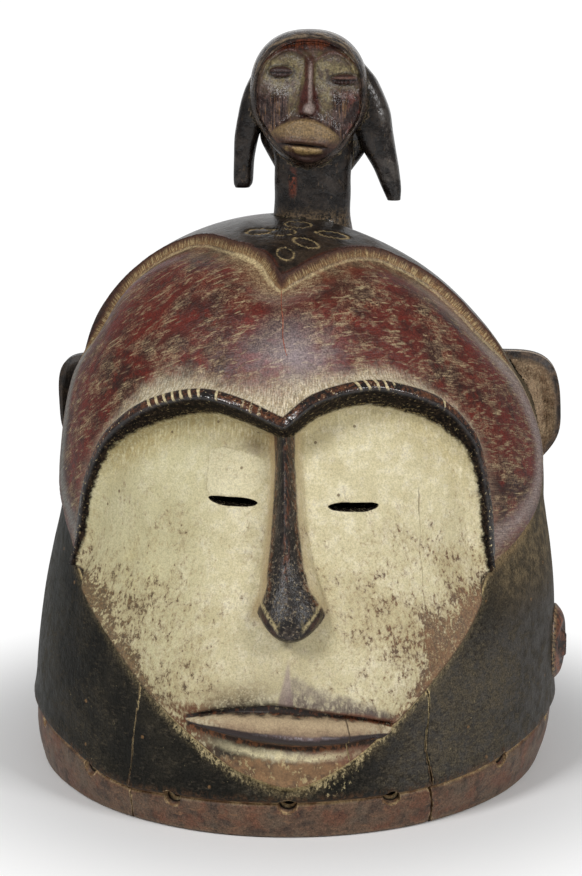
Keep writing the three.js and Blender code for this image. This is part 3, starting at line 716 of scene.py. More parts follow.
def hood_hollow():
    """The hollow: the same bell drawn in by the wall, and by more behind the face."""
    z = np.array(HOLLOW_HEIGHTS)[:, None]
    girth = np.linspace(-BACK, BACK, 96, endpoint=False)[None]
    top = DOME_START + DOME_RISE - CROWN_WALL
    above = (WAIST_RADIUS - WALL) * dome_share((z - DOME_START) / (top - DOME_START))
    below = hood_radius(np.maximum(z, RIM_THICK_BELOW)) - WALL
    plain = np.where(z > DOME_START, above, below)
    reach = plain - WALL_BEHIND_FACE * hump(girth, 90) * hump(z - 190, 60)
    reach = reach + 0.8 * ripple(girth, z * 0.4, 9, 42) * ease(8, 40, z)
    points = round_axis(girth + 0 * z, z + 0 * girth, reach)
    return loft("hollow", points, (0, 0, -20), (0, 0, top), {"inside": 1.0, "groove": -20.0})


def cut_fields(girth, z, tone=0.0):
    """What the paint reads on a cutter: the hood's fields at its places, and a tone of its own for its
    painted shade.
    """
    girth, z = np.broadcast_arrays(girth, z)
    _, fields = relief(girth.ravel(), z.ravel())
    fields = {name: value.reshape(girth.shape) for name, value in fields.items()}
    return {**fields, "inside": 1.0, "across": tone}


def through_wall(name, girth, z, outline):
    """A straight cutter with the given outline, run through the wall at a place on the hood."""
    turn = girth / GIRTH
    side = np.array([math.cos(turn), math.sin(turn), 0])
    ends = round_axis(np.full(2, girth), np.full(2, z), np.array(CUTTER_REACH))
    flat = outline[:, :1] * side + outline[:, 1:] * np.array([0, 0, 1.0])
    at_both_ends = 0 * ends[:, :1]
    fields = cut_fields(girth + outline[None, :, 0] + at_both_ends, z + outline[None, :, 1] + at_both_ends)
    return loft(name, ends[:, None] + flat[None], ends[0], ends[1], fields)


def slit_cutter(girth, z, turn):
    """An eye slit: pointed at the ends, its upper edge flatter than its lower one, its edge uneven."""
    a = np.linspace(0, math.tau, 40, endpoint=False)
    x = SLIT_LENGTH / 2 * np.cos(a)
    y = SLIT_OPENING / 2 * np.sign(np.sin(a)) * np.abs(np.sin(a)) ** 1.15 * np.where(a < math.pi, 0.8, 1.15)
    y = y + 0.3 * np.sin(3 * a + girth) * np.abs(np.sin(a))
    t = math.radians(turn)
    outline = np.stack([x * math.cos(t) - y * math.sin(t), x * math.sin(t) + y * math.cos(t)], -1)
    return through_wall("slit", girth, z, outline)


def hole_cutter(girth):
    """A cord hole: an uneven ring, wide and worn at its mouth, that rises and narrows as it goes in."""
    a = np.linspace(0, math.tau, 28, endpoint=False)[None]
    z = float(table(GROOVE, girth)) - HOLE_BELOW_GROOVE
    mouth = float(hood_radius(np.array(z)))
    depth, size, lift, tone = np.array(HOLE_STEPS).T
    r = RIM_HOLE_RADIUS * (1 + 0.05 * np.sin(2 * a + girth) + 0.03 * np.sin(3 * a - girth)) * size[:, None]
    turn = girth / GIRTH
    middle = round_axis(np.full(5, girth), np.full(5, z), mouth + depth)
    middle = middle + lift[:, None] * np.array([0.3 * math.cos(turn), 0.3 * math.sin(turn), 1])
    rows = middle[:, None] + (r * np.cos(a))[..., None] * np.array([math.cos(turn), math.sin(turn), 0])
    rows[..., 2] += r * np.sin(a)
    # The tone paints shade deep in the hole, and a pale mouth, worn and painted as lit.
    fields = cut_fields(girth + r * np.cos(a), z + r * np.sin(a), tone[:, None])
    return loft("hole", rows, middle[0], middle[-1], fields)


def crack_cutter(stations, depth, dark):
    """A crack: a thin wedge, open at the surface and closing inwards, led down through its stations."""
    line = through(stations, 10)
    girth, z, width = line.T
    width = width * (1 + 0.25 * np.sin(z * 0.7) + 0.15 * np.sin(z * 1.9))
    girth = girth + 0.3 * np.sin(z * 0.23) + 0.12 * np.sin(z * 1.1)
    inner = hood_radius(np.maximum(z, 0)) - depth * np.clip(width, 0.6, 1.6)
    outer = hood_radius(np.maximum(z, 0)) + 6
    corners = [
        round_axis(girth, z, inner),
        round_axis(girth + width / 2, z, outer),
        round_axis(girth - width / 2, z, outer)]
    rows = np.stack(corners, 1)
    # dark sets how deep a painted shade the crack's walls take.
    fields = cut_fields(girth[:, None] + width[:, None] * np.array([0, 0.5, -0.5]), z[:, None], dark)
    return loft("crack", rows, rows[0].mean(0), rows[-1].mean(0), fields)


def rounded_box_ring(count, power):
    """Cosines and sines round a ring, raised to a power to square its corners."""
    a = (np.arange(count) + 0.5) / count * math.tau
    c, s = np.cos(a), np.sin(a)
    return np.sign(c) * np.abs(c) ** power, np.sign(s) * np.abs(s) ** power


def bar(name, stations, power, count=44, rows=46, **fields):
    """A bar with a rounded-box section, led through stations (x, y, z, half width, half depth)."""
    line = through(stations, 12)
    run = np.linspace(0, len(line) - 1, rows)
    line = np.stack([np.interp(run, np.arange(len(line)), column) for column in line.T], -1)
    c, s = rounded_box_ring(count, power)
    x, y, z, wide, deep = (column[:, None] for column in line.T)
    wide = wide * (1 + 0.035 * ripple(c[None] * 9, z, 21, 16))
    points = np.stack([x + wide * c, y + deep * s, z + 0 * c], -1)
    fields.update(across=(c * wide), along=z + 0 * c, girth=x + wide * c, height=z + 0 * c)
    return loft(name, points, tuple(line[0, :3]), tuple(line[-1, :3]), fields)


def rings(name, steps, count, place, **fields):
    """A rounded solid as rings round a viewing axis: front middle, out to the rim, and the back middle."""
    share, front = np.array(steps, float).T
    a = np.arange(count) / count * math.tau
    points, across, along = place(share[:, None], a[None], front[:, None])
    ends = [place(np.zeros((1, 1)), np.zeros((1, 1)), np.array([[k]]))[0][0, 0] for k in (1.0, -1.0)]
    fields.update(across=across, along=along, height=points[..., 2], level=share[:, None] * front[:, None])
    return loft(name, points, ends[0], ends[1], fields)


def ear(side):
    """An ear: a D on its back, with a dished front and a rolled edge."""
    middle = (EAR_TOP[side] + EAR_BOTTOM) / 2
    half = (EAR_TOP[side] - EAR_BOTTOM) / 2

    def place(q, a, front):
        """Share q of a D whose straight side is at the root, and the dish in its front."""
        s, c = np.sin(a), np.cos(a)
        z = middle + q * half * np.sign(s) * np.abs(s) ** 0.7
        root = hood_radius(z) - EAR_ROOT
        reach = EAR_REACH[side] - root - 9 * ease(0, 1, -s) * np.abs(s)
        x = root + q * np.where(c > 0, reach * np.clip(c, 0, 1) ** 0.5, -2 * np.abs(c) ** 0.5)
        dish = np.where(front > 0, EAR_DISH * (1 - ease(0.5, 0.95, q)), -1.5 * (1 - q))
        edge = ease(0.86, 1.0, q) * 2.2
        y = EAR_BACK - front * (EAR_THICKNESS / 2 - edge) + dish
        points = np.stack(np.broadcast_arrays(side * x + smooth_table(LEAN, z), y, z), -1)
        return points, x - root + 0 * y, z + 0 * y

    front = [(q, 1) for q in np.linspace(0.08, 1, 22)]
    back = [(q, -1) for q in np.linspace(1, 0.2, 8)]
    return rings("ear", front + back, 72, place, ear=1.0, girth=side * 100.0)


def side_head():
    """The small head: a low oval boss with a hood over a hollowed heart-shaped face."""
    turn = math.radians(SIDE_HEAD_TURN)
    out = np.array([math.sin(turn), -math.cos(turn), 0])
    sideways = np.array([math.cos(turn), math.sin(turn), 0])
    foot = hood_point(np.array(turn * GIRTH), np.array(SIDE_HEAD_HEIGHT))

    def place(q, a, front):
        """Share q of an ellipse, domed, with the face's hollow, nose, eyes and lips on it."""
        x = q * SIDE_HEAD_HALF[0] * np.cos(a)
        z = q * SIDE_HEAD_HALF[1] * np.sin(a)
        dome = SIDE_HEAD_RAISE * (1 - q**4)
        aside = x + 4
        face = 1 - ease(0.8, 1.05, np.hypot(aside / 11.5, (z + 2) / 15))
        hollow = 1.6 * face + 2.2 * hump(np.abs(aside) - 6, 3.2) * hump(z - 2, 5)
        nose = 2.6 * hump(aside, 1.8) * ease(-9, -6, z) * (1 - ease(5, 10, z)) * face
        eyes = 1.2 * hump(np.abs(aside) - 6, 2.2) * hump(z - 2, 1.3)
        lips = 1.3 * hump(aside, 4) * (hump(z + 11, 1.1) + hump(z + 14, 1.1)) * face
        h = np.where(front > 0, dome - hollow + nose + eyes + lips - 0.5, -8)
        points = foot + h[..., None] * out + (x + 0 * h)[..., None] * sideways
        points[..., 2] += z + 0 * h
        return points, aside + 0 * h, z + 0 * h

    front = [(q, 1) for q in np.linspace(0.04, 1, 26)]
    return rings("side_head", front + [(1, -1), (0.5, -1)], 72, place, boss=1.0, girth=turn * GIRTH)


def crest_face(x, z):
    """The crest's face as a rise above its plain front, in mm across and above its middle.

    A brow arc on each side meets a long nose, whose sharp edge runs nearer its right side. Under each
    brow is a socket with a lidded eye, and below them a crescent of a muzzle carries two lips.
    """
    edge = table(CREST_NOSE_EDGE, z)
    left, right = table(CREST_NOSE_LEFT, z), table(CREST_NOSE_RIGHT, z)
    aside = np.where(x < edge, (edge - x) / left, (x - edge) / right)
    ridge = ease(-10.5, -8, z) * (1 - ease(21, 27, z))
    nose = (4.8 + 3.6 * hump(z + 4.5, 6)) * ridge * np.clip(1 - aside, 0, 1) ** 0.8
    left_arc = 24.6 - 0.042 * (x + 11) ** 2
    right_arc = 22.8 - 0.045 * (x - 13) ** 2
    arcs = 1.9 * hump(z - left_arc, 1.5) * ease(-28, -22, x) * (1 - ease(-4, 1, x))
    arcs = arcs + 1.6 * hump(z - right_arc, 1.6) * ease(1, 5, x) * (1 - ease(25, 30, x))
    sockets = -4.2 * hump(x + 14, 9) * hump(z - 13, 8) - 4.2 * hump(x - 17, 10) * hump(z - 9.5, 8)
    left_eye = np.sqrt(np.clip(1 - ((x + 15) / 6.6) ** 2 - ((z - 12.7) / 3.0) ** 2, 0, 1))
    right_eye = np.sqrt(np.clip(1 - ((x - 19.3) / 7.9) ** 2 - ((z - 8.6 + 0.06 * (x - 19)) / 2.8) ** 2, 0, 1))
    eyes = 3.1 * left_eye - 1.3 * hump(z - 12.2, 0.5) * left_eye
    eyes = eyes + 3.1 * right_eye - 1.7 * hump(z - 8.0 + 0.06 * (x - 19), 0.6) * right_eye
    crescent = -11.5 - 0.026 * (x + 3) ** 2
    muzzle = 4.2 * ease(-1.5, 1.5, crescent - z) * hump(x + 3, 19) * (1 - ease(10, 19, crescent - z))
    mouth_line = -25.4 - 0.08 * (x + 3) - 0.005 * (x + 3) ** 2
    share = np.sqrt(np.clip(1 - ((x + 3) / 14.5) ** 2, 0, 1))
    lips = -2.6 * hump(z - mouth_line, 0.8) * share
    lips = lips + 1.5 * share * hump(z - mouth_line - 2.2, 1.4)
    lips = lips + 2.0 * share * hump(z - mouth_line + 3.2, 1.8)
    lips = lips - 1.6 * share * hump(z - mouth_line + 7.0, 1.2)
    return nose + arcs + sockets + eyes + muzzle + lips


def crest_head():
    """The head on top: rounded-square rings, a smooth frame of hair, and the face set back inside it."""

    def place(q, a, front):
        """Share q of a superellipse that narrows to a V below, domed, with the face inside its frame."""
        s, c = np.sin(a), np.cos(a)
        power = HEAD_POWER - 0.65 * ease(0.05, -0.6, s)
        full = q / (np.abs(s) ** power + np.abs(c) ** power) ** (1 / power)
        x = full * HEAD_HALF_WIDTH * c
        z = full * np.where(s > 0, HEAD_ABOVE, HEAD_BELOW) * s
        frame = FRAME_EDGE - 0.05 * ease(0.2, 1, s) + 0.05 * ease(-0.1, -0.8, s)
        plain = HEAD_FRONT * np.clip(1 - q**2.7, 0, 1) ** (1 / 2.7)
        inner = 1 - ease(frame - 0.02, frame + 0.02, q)
        lip = 0.9 * hump((q - frame + 0.055) * 33, 1.0)
        chin = ease(-0.55, -0.85, s)
        face = crest_face(x, z) * (1 - ease(0.74, 0.85, q)) - 2.6 * (1 - chin) + lip * (1 - chin)
        y = np.where(front > 0, plain + face * inner, -HEAD_BACK * np.sqrt(np.clip(1 - q * q, 0, 1)))
        y = y + CHIN_FORWARD * ease(-6, -38, z)
        points = np.stack([
            HEAD_MIDDLE[0] + x * math.cos(HEAD_YAW) + y * math.sin(HEAD_YAW),
            HEAD_MIDDLE[1] + x * math.sin(HEAD_YAW) - y * math.cos(HEAD_YAW),
            HEAD_MIDDLE[2] + z + 0 * y], -1)
        return points, x + 0 * y, z + 0 * y

    shares = np.concatenate([np.linspace(0.02, 0.78, 52), np.linspace(0.79, 0.97, 18), [0.985, 1]])
    front = [(q, 1) for q in shares]
    back = [(q, -1) for q in np.cos(np.linspace(0.25, 1.45, 18))]
    return rings("crest_head", front + back, 150, place, crest=1.0)


# Shader arithmetic


class Wire:
    """A socket's output, with the arithmetic that the materials use. Each sum adds a Math node."""

    def __init__(self, board, socket):
        self.board = board
        self.socket = socket

    def math(self, operation, *others):
        """A Math node that takes this value and the others."""
        return self.board.add("ShaderNodeMath", {"operation": operation}, dict(enumerate((self, *others))))

    def __add__(self, other):
        return self.math("ADD", other)

    __radd__ = __add__

    def __sub__(self, other):
        return self.math("SUBTRACT", other)

    def __rsub__(self, other):
        return self * -1 + other

    def __mul__(self, other):
        return self.math("MULTIPLY", other)

    __rmul__ = __mul__

    def __truediv__(self, other):
        return self.math("DIVIDE", other)

    def __abs__(self):
        return self.math("ABSOLUTE")

    def least(self, other):
        """The smaller of two values."""
        return self.math("MINIMUM", other)

    def most(self, other):
        """The larger of two values."""
        return self.math("MAXIMUM", other)

    def fract(self):
        """What is left over the whole number below."""
        return self.math("FRACT")

    def rise(self, low, high):
        """0 at low and 1 at high, with a smooth S between; low may be above high, for a fall."""
        return self.board.add(
            "ShaderNodeMapRange", {"interpolation_type": "SMOOTHSTEP"},
            {"Value": self, "From Min": low, "From Max": high, "To Min": 0.0, "To Max": 1.0}, "Result")

    def band(self, middle, half, soft):
        """1 within half of the middle and 0 beyond it, with a soft edge."""
        return abs(self - middle).rise(half + soft, half - soft)


class Board:
    """Adds nodes to a material or a world."""

    def __init__(self, owner):
        owner.use_nodes = True
        self.tree = owner.node_tree
        self.tree.nodes.clear()

    def add(self, kind, settings=None, values=None, output=0):
        """A node of a type, its settings first and then the values or links of its sockets."""
        node = self.tree.nodes.new(kind)
        for name, value in (settings or {}).items():
            setattr(node, name, value)
        for name, value in (values or {}).items():
            if isinstance(value, Wire):
                self.tree.links.new(value.socket, node.inputs[name])
            else:
                node.inputs[name].default_value = value
        return Wire(self, node.outputs[output]) if node.outputs else None

    def field(self, name):
        """The mesh's own field of this name."""
        return self.add("ShaderNodeAttribute", {"attribute_name": name}, output="Fac")

    def noise(self, place, size, detail=2.0, roughness=0.5):
        """Cloudy noise about 0 to 1, with features of this size in mm."""
        values = {"Vector": place, "Scale": 1 / size, "Detail": detail, "Roughness": roughness}
        return self.add("ShaderNodeTexNoise", None, values, "Fac")

    def cells(self, place, size):
        """Distance to the nearest of scattered points, as a share of their spacing in mm."""
        return self.add("ShaderNodeTexVoronoi", None, {"Vector": place, "Scale": 1 / size}, "Distance")

    def stretch(self, place, scale, turn=(0, 0, 0)):
        """Places scaled along their axes and then turned."""
        return self.add("ShaderNodeMapping", None, {"Vector": place, "Scale": scale, "Rotation": turn})

    def slanted(self, x, y, turn, long):
        """Places for a pattern drawn out along a line that climbs by turn, long times as long as wide."""
        c, n = math.cos(turn), math.sin(turn)
        return self.vector((x * c + y * n) / long, y * c - x * n)

    def vector(self, x, y, z=0.0):
        """Three values as one vector."""
        return self.add("ShaderNodeCombineXYZ", None, {"X": x, "Y": y, "Z": z})

    def mix(self, first, second, share):
        """Colour first turned into second by a share. Three plain numbers are a colour's screen values."""
        first, second = (earth(*c) if isinstance(c, tuple) and len(c) == 3 else c for c in (first, second))
        settings = {"data_type": "RGBA", "clamp_factor": True}
        return self.add("ShaderNodeMix", settings, {0: share, 6: first, 7: second}, 2)

    def coats(self, colour, *coats):
        """A colour with others laid over it in turn, each given as (colour, share)."""
        for upper, share in coats:
            colour = self.mix(colour, upper, share)
        return colour

    def scaled(self, colour, factor):
        """A colour made brighter or darker by a factor."""
        return self.add("ShaderNodeVectorMath", {"operation": "SCALE"}, {"Vector": colour, "Scale": factor})

    def length(self, vector):
        """The length of a vector."""
        return self.add("ShaderNodeVectorMath", {"operation": "LENGTH"}, {0: vector}, "Value")

    def over(self, under, upper, share):
        """One finish laid over another where share is 1."""
        return self.add("ShaderNodeMixShader", None, {0: share, 1: under, 2: upper})


def earth(red, green, blue):
    """A colour from its screen values 0 to 255, as the shader's linear light."""
    share = np.array([red, green, blue]) / 255
    linear = np.where(share > 0.04045, ((share + 0.055) / 1.055) ** 2.4, share / 12.92)
    return (*linear.tolist(), 1.0)


# The paint. Each zone is worked out from the fields, in mm, and gives a finish of its own.


class Surface:
    """What the zones share: the fields, places in mm, and patterns used in more than one zone."""

    def __init__(self, board):
        b = self.b = board
        for name in FIELDS:
            setattr(self, name, b.field(name))
        metres = b.add("ShaderNodeTexCoord", output="Object")
        self.mm = b.add("ShaderNodeVectorMath", {"operation": "SCALE"}, {"Vector": metres, "Scale": 1000.0})
        self.flat = b.vector(self.girth, self.height)
        self.cloud = b.noise(self.mm, 30, 2, 0.6)
        self.mottle = b.noise(self.mm, 7, 3, 0.65)
        self.grit = b.noise(self.mm, 1.7, 2, 0.7)
        self.fine = b.noise(self.mm, 0.8, 1, 0.5)
        self.grain = b.noise(b.stretch(self.mm, (1, 1, 0.07)), 1.1, 2, 0.6)
        self.flecks = b.noise(b.stretch(self.mm, (1, 1, 0.6)), 2.6, 3, 0.7)
        self.chips = b.noise(b.stretch(self.mm, (1, 1, 0.7)), 1.35, 3, 0.7)
        self.wobble = (b.noise(self.mm, 4.5, 2, 0.6) - 0.5) * 3.2

    def coat(self, colour, rough, height, gloss, contrast):
        """A zone's finish: its colour made finely uneven, its shine and its small relief in mm."""
        b = self.b
        uneven = (self.fine - 0.5) * (1.5 * contrast) + (self.grit - 0.5) * (0.9 * contrast) + 1
        bump = b.add("ShaderNodeBump", None, {"Strength": 1.0, "Distance": 0.001, "Height": height})
        values = {"Roughness": rough, "Normal": bump, "Specular IOR Level": gloss}
        values["Base Color"] = b.scaled(colour, uneven)
        return b.add("ShaderNodeBsdfPrincipled", None, values)


def clay_and_shade(s, tint):
    """The clay: cloudy, yellower at the left cheek, with painted shade under the brows, by the nose and in an
    eye's corner.
    """
    yellow = s.girth.band(-92, 22, 24) * s.height.band(132, 14, 26) * s.mottle.rise(0.4, 0.65)
    under_brow = s.brow.rise(-26, -8) * s.height.rise(165, 195) * (0.6 + s.girth.rise(10, -10) * 0.4)
    corner = s.girth.band(-19, 6, 12) * s.height.band(205, 5, 9) * s.patch.rise(1, -1)
    over_mouth = s.girth.band(0, 24, 26) * s.height.band(91, 12, 16)
    nose_side = s.nose.rise(-7, -0.5) * s.height.rise(104, 126)
    return s.b.coats(
        tint.white_clay,
        ((216, 207, 176), s.mottle.rise(0.4, 0.66)),
        ((180, 168, 130), s.cloud.rise(0.46, 0.7) * 0.6),
        ((206, 200, 182), (s.mottle * 0.5 + s.chips * 0.5).rise(0.54, 0.64) * 0.5),
        ((180, 175, 136), s.girth.rise(-20, -70) * 0.5),
        ((196, 186, 124), yellow * 0.5),
        ((210, 202, 170), s.patch.rise(-0.6, 0.6) * 0.5),
        # Painted shade under the brows, a painted shadow in the left eye's inner corner, and painted shade
        # beside the nose.
        ((158, 142, 96), under_brow * s.grain.rise(0.2, 0.62) * 0.9),
        ((84, 64, 36), corner * 0.95),
        ((172, 161, 128), over_mouth * 0.7),
        ((158, 132, 92), nose_side * (0.45 + s.girth.rise(6, -2) * 0.25)))


def clay_wear(s):
    """How much the clay is worn, and the patch by the right of the jaw where it is rubbed off."""
    left = s.girth.rise(-30, -96) * s.height.rise(156, 112) * 0.1
    right = s.girth.rise(26, 52) * s.height.rise(172, 140) * 0.05
    quiet = s.girth.band(8, 20, 24) * s.height.band(92, 14, 22) * -0.06 + s.height.rise(160, 185) * -0.05
    edge = (s.face + s.wobble).rise(12, 1) * s.height.rise(146, 108) * 0.06
    bared = (s.girth - 72 + s.wobble).rise(-1.5, 5) * s.height.band(103, 17, 12) * 0.12
    wear = s.height.rise(140, 60) * 0.035 + left + right + quiet + edge + bared + (s.cloud - 0.5) * 0.22
    return wear, bared


def face_paint(s, tint):
    """White clay over brown wood, stained and worn through in flecks that thicken towards the jaw."""
    b = s.b
    wear, bared = clay_wear(s)
    mixed = s.flecks * 0.4 + s.chips * 0.35 + s.mottle * 0.25 + wear
    stain = mixed.rise(0.49, 0.62)
    bare = mixed.rise(0.595, 0.665)
    brown = b.mix((110, 82, 52), (66, 49, 33), s.grit.rise(0.35, 0.6))
    redder = b.mix((116, 74, 48), (74, 46, 31), (s.mottle * 0.5 + s.grain * 0.5).rise(0.4, 0.6))
    kept = (s.chips * 0.6 + s.fine * 0.4).rise(0.55, 0.62) * bared
    specks = (s.fine * 0.6 + s.grit * 0.4 + wear * 0.5).rise(0.61, 0.69)
    dots = b.cells(s.mm, 12).rise(0.085, 0.05) * s.height.rise(120, 150)
    seam = (s.patch + s.wobble * 0.35).band(0, 0.2, 0.6) * s.girth.rise(-14, -40)
    by_eye = s.height.rise(182, 174) * s.height.rise(162, 170) * 0.6
    crack = abs(s.crack).rise(0.36, 0.06) * (0.35 + by_eye + s.height.rise(75, 68))
    limb = s.face.rise(2.0, 0.7)
    colour = b.coats(
        clay_and_shade(s, tint),
        ((152, 130, 94), stain * 0.5),
        (b.mix(brown, redder, s.girth.rise(26, 56) * 0.85), bare * 0.88),
        ((186, 170, 132), kept * 5.0),
        ((116, 96, 66), specks * 0.5),
        ((90, 68, 44), dots * 0.75),
        ((130, 110, 76), seam * s.flecks.rise(0.36, 0.56) * 0.6),
        ((98, 78, 54), crack * 0.85),
        ((72, 53, 36), limb * (s.grit.rise(0.3, 0.6) * 0.3 + 0.6)))
    rough = 0.86 - bare * 0.22
    height = (s.grit - 0.5) * 0.3 - bare * 0.2 - stain * 0.1 - crack * 0.4 + (s.mottle - 0.5) * 0.8
    return colour, rough, height


def above_lip_paint(s, colour, gap):
    """Stains above the mouth, dark at the left with a painted shadow there, a violet wedge at the right, rust
    at the corners.
    """
    b, g = s.b, s.girth
    over = s.lip - gap + s.wobble * 0.45
    streak = b.noise(b.stretch(s.flat, (1, 0.16, 1)), 1.1, 2, 0.6)
    left = g.band(-18, 15, 13) * (over + s.wobble).rise(18, 8)
    tone = b.mix((142, 128, 98), (76, 64, 48), over.rise(11, 2) + (s.flecks - 0.5) * 1.6)
    # A painted shadow under the clay's edge, just above the mouth at the left.
    shadow_under_clay = g.band(-18, 18, 8) * over.rise(4.8, 0.8)
    wedge = (14.5 - (g - 8) * 0.2 - over + s.wobble * 2.2).rise(-2.5, 2.5) * g.rise(2.5, 5.5) * g.rise(60, 50)
    deep = over.rise(13, 2) * 0.9 + (streak - 0.5) * 1.4 + (s.flecks - 0.5) * 1.2
    purple = b.mix((150, 139, 120), (92, 80, 74), deep)
    rust = g.band(40, 22, 12) * over.rise(3.4, 1)
    rust_left = g.band(-42, 10, 8) * (s.lip + s.wobble * 0.25).rise(12, 2)
    reach = 0.7 + s.height.rise(97, 76) * 2.6
    philtrum = (reach - abs(g - 4.2)).rise(-0.9, 0.9) * s.height.rise(101, 92) * s.height.rise(73, 75)
    return b.coats(
        colour,
        (tone, left * (s.grit.rise(0.34, 0.56) * 0.5 + 0.42)),
        ((44, 38, 30), shadow_under_clay * s.flecks.rise(0.36, 0.52) * 0.9),
        (purple, wedge * (s.flecks.rise(0.32, 0.56) * 0.45 + 0.5)),
        ((112, 70, 52), rust * 0.85),
        ((104, 64, 42), rust_left * s.flecks.rise(0.36, 0.56) * 0.9),
        (b.mix((152, 137, 126), (112, 94, 90), s.height.rise(88, 76)), philtrum * 0.85))


def chin_paint(s, under):
    """The mouth: a dark gap under the clay, a pale lower lip over a violet and a rust band, and the chin."""
    b, g = s.b, s.girth
    colour, rough, height = under
    lip = s.lip + s.wobble * 0.25
    depth = lip + s.lip_half * 2
    inside = s.lip_half.rise(0.55, 1.1)
    gap = 1.0 + g.band(1, 13, 15) * 3.3
    opening = (gap - lip).rise(-0.4, 0.5) * (lip + 1.4).rise(-0.4, 0.4) * inside
    t = (-1 - lip) / (s.lip_half * 2) + (s.mottle - 0.5) * 0.16
    dark = b.coats(
        (44, 36, 31),
        ((104, 62, 40), (s.flecks + g.rise(20, 50) * 0.12).rise(0.54, 0.66)),
        ((140, 126, 98), s.flecks.rise(0.4, 0.34) * 0.7))
    pale = b.coats(
        (168, 148, 118),
        ((132, 110, 88), (t + s.mottle * 0.6).rise(0.4, 0.9)),
        ((196, 186, 156), abs(g - 9).rise(26, 44) * s.flecks.rise(0.42, 0.56) * 0.6))
    # A painted highlight on the violet band of the lower lip.
    shine = t.band(0.58, 0.03, 0.08) * g.band(12, 12, 14) * s.flecks.rise(0.42, 0.56)
    violet = b.coats(
        (102, 84, 82),
        ((44, 32, 30), (t + abs(g - 14) * 0.008 + (s.flecks - 0.5) * 0.5).rise(0.5, 0.76)),
        ((176, 166, 170), shine * 0.8))
    under_lip = b.mix((52, 40, 31), (118, 76, 48), s.flecks.rise(0.46, 0.6))
    cream = (depth + s.wobble).band(-7.6, 1.8, 2.2) * g.band(6, 30, 18) * s.flecks.rise(0.36, 0.5)
    chin = (lip + s.wobble * 1.6 + s.mottle * 5).rise(-19.5, -23.5) * s.height.rise(64, 58)
    wood = b.coats(
        (134, 102, 70),
        ((96, 73, 52), s.mottle.rise(0.4, 0.66)),
        ((184, 166, 122), s.flecks.rise(0.57, 0.63) * 0.7))
    split = abs(s.crack).rise(0.45, 0.1) * g.band(34, 4, 2) * s.height.rise(73, 69)
    colour = b.coats(
        above_lip_paint(s, colour, gap),
        (dark, opening),
        (pale, t.rise(-0.06, 0.04) * t.rise(1.1, 0.9) * inside),
        (violet, (t + s.wobble * 0.04).rise(0.44, 0.56) * t.rise(1.12, 1.0) * inside),
        (under_lip, t.rise(0.86, 0.98) * depth.rise(-5.2, -3.4) * inside),
        ((218, 206, 166), cream * 0.8),
        (wood, chin * 0.95),
        (b.mix((178, 160, 112), (74, 56, 40), s.height.rise(56, 60)), split * 0.7))
    wet = (opening + t.rise(0.3, 0.6) * t.rise(1.1, 0.95) * inside).least(1)
    return colour, rough - wet * 0.45 - chin * 0.25, height * (1 - wet * 0.6) - split * 0.4


def nose_paint(s, under):
    """A black ridge down the nose, brown along its edges, with clay left along the nostrils."""
    b = s.b
    colour, rough, height = under
    mask = (s.nose + s.wobble * 0.4 + (s.grit - 0.5) * 1.5).rise(-0.7, 0.6)
    ridge = abs(s.girth - 1.0).rise(2.2, 0.4) * s.height.rise(128, 150)
    scraped = s.grit * 0.4 + s.chips * 0.6 + s.height.band(128, 22, 24) * 0.05 + s.nose.rise(5, 0) * 0.05
    scraped = scraped.rise(0.58, 0.65)
    aside = abs(s.girth - 4.5)
    crease = (s.height - NOSE_TIP_HEIGHT - aside * NOSTRIL_SLOPE + s.wobble * 0.4) * aside.rise(3.5, 6.5)
    clay = crease.band(2.4, 1.4, 1.4) * aside.rise(4, 7) * s.height.rise(131, 127)
    below = crease.rise(0.6, -0.4) * s.height.rise(132, 128) * aside.rise(3, 5)
    black = b.coats(
        (25, 21, 19),
        ((62, 54, 48), (s.mottle * 0.5 + s.grit * 0.5).rise(0.44, 0.64)),
        ((104, 60, 38), ridge * s.grain.rise(0.44, 0.62) * 0.7),
        ((112, 74, 46), s.nose.band(1.0, 0.8, 1.5) * s.flecks.rise(0.42, 0.58) * 0.8),
        ((140, 126, 102), scraped * 0.6),
        ((180, 164, 122), clay * s.grit.rise(0.32, 0.52) * 0.85),
        (b.mix((32, 22, 18), (62, 42, 32), s.mottle.rise(0.45, 0.6)), below))
    height = height * (1 - mask * 0.6) + mask * (s.grain * 0.3 - scraped * 0.15)
    return b.mix(colour, black, mask), rough - mask * 0.52, height


def hairline_paint(s, colour, stipple):
    """Under the edge of the hair: a slope rubbed pale, a light line, and a hatched strip."""
    b = s.b
    hatch = b.noise(b.vector(s.hair_run + s.wobble * 0.3, s.hair * 0.1), 0.5, 1, 0.5)
    hair = s.hair + s.wobble * 0.28 - s.girth.band(2, 0.5, 9) * 5.5
    smooth = s.girth.band(-34, 26, 24)
    slope = hair.rise(21, 7) * s.height.rise(205, 240) * (0.3 + smooth * 0.5)
    rubbed = b.mix((128, 110, 80), (160, 143, 108), s.flecks.rise(0.36, 0.6))
    line = hair.band(5.9, 0.4 + smooth * 1.4, 1.4) * s.height.rise(170, 205)
    trim = hair.rise(5.2, 4.2) * s.height.rise(165, 200)
    strip = b.coats(
        (118, 88, 56),
        ((70, 42, 28), hair.rise(4.4, 1.4) + (s.mottle - 0.5) * 0.8),
        ((172, 152, 110), hatch.rise(0.5, 0.6) * hair.rise(1.2, 3.6) * 0.75),
        ((52, 26, 19), hair.rise(1.7, 0.4)))
    colour = b.coats(
        colour,
        (rubbed, slope * (stipple * 0.4 + 0.6)),
        ((186, 167, 126), line * (0.5 + s.flecks.rise(0.36, 0.56) * 0.4)),
        (strip, trim * 0.95))
    return colour, trim, hatch


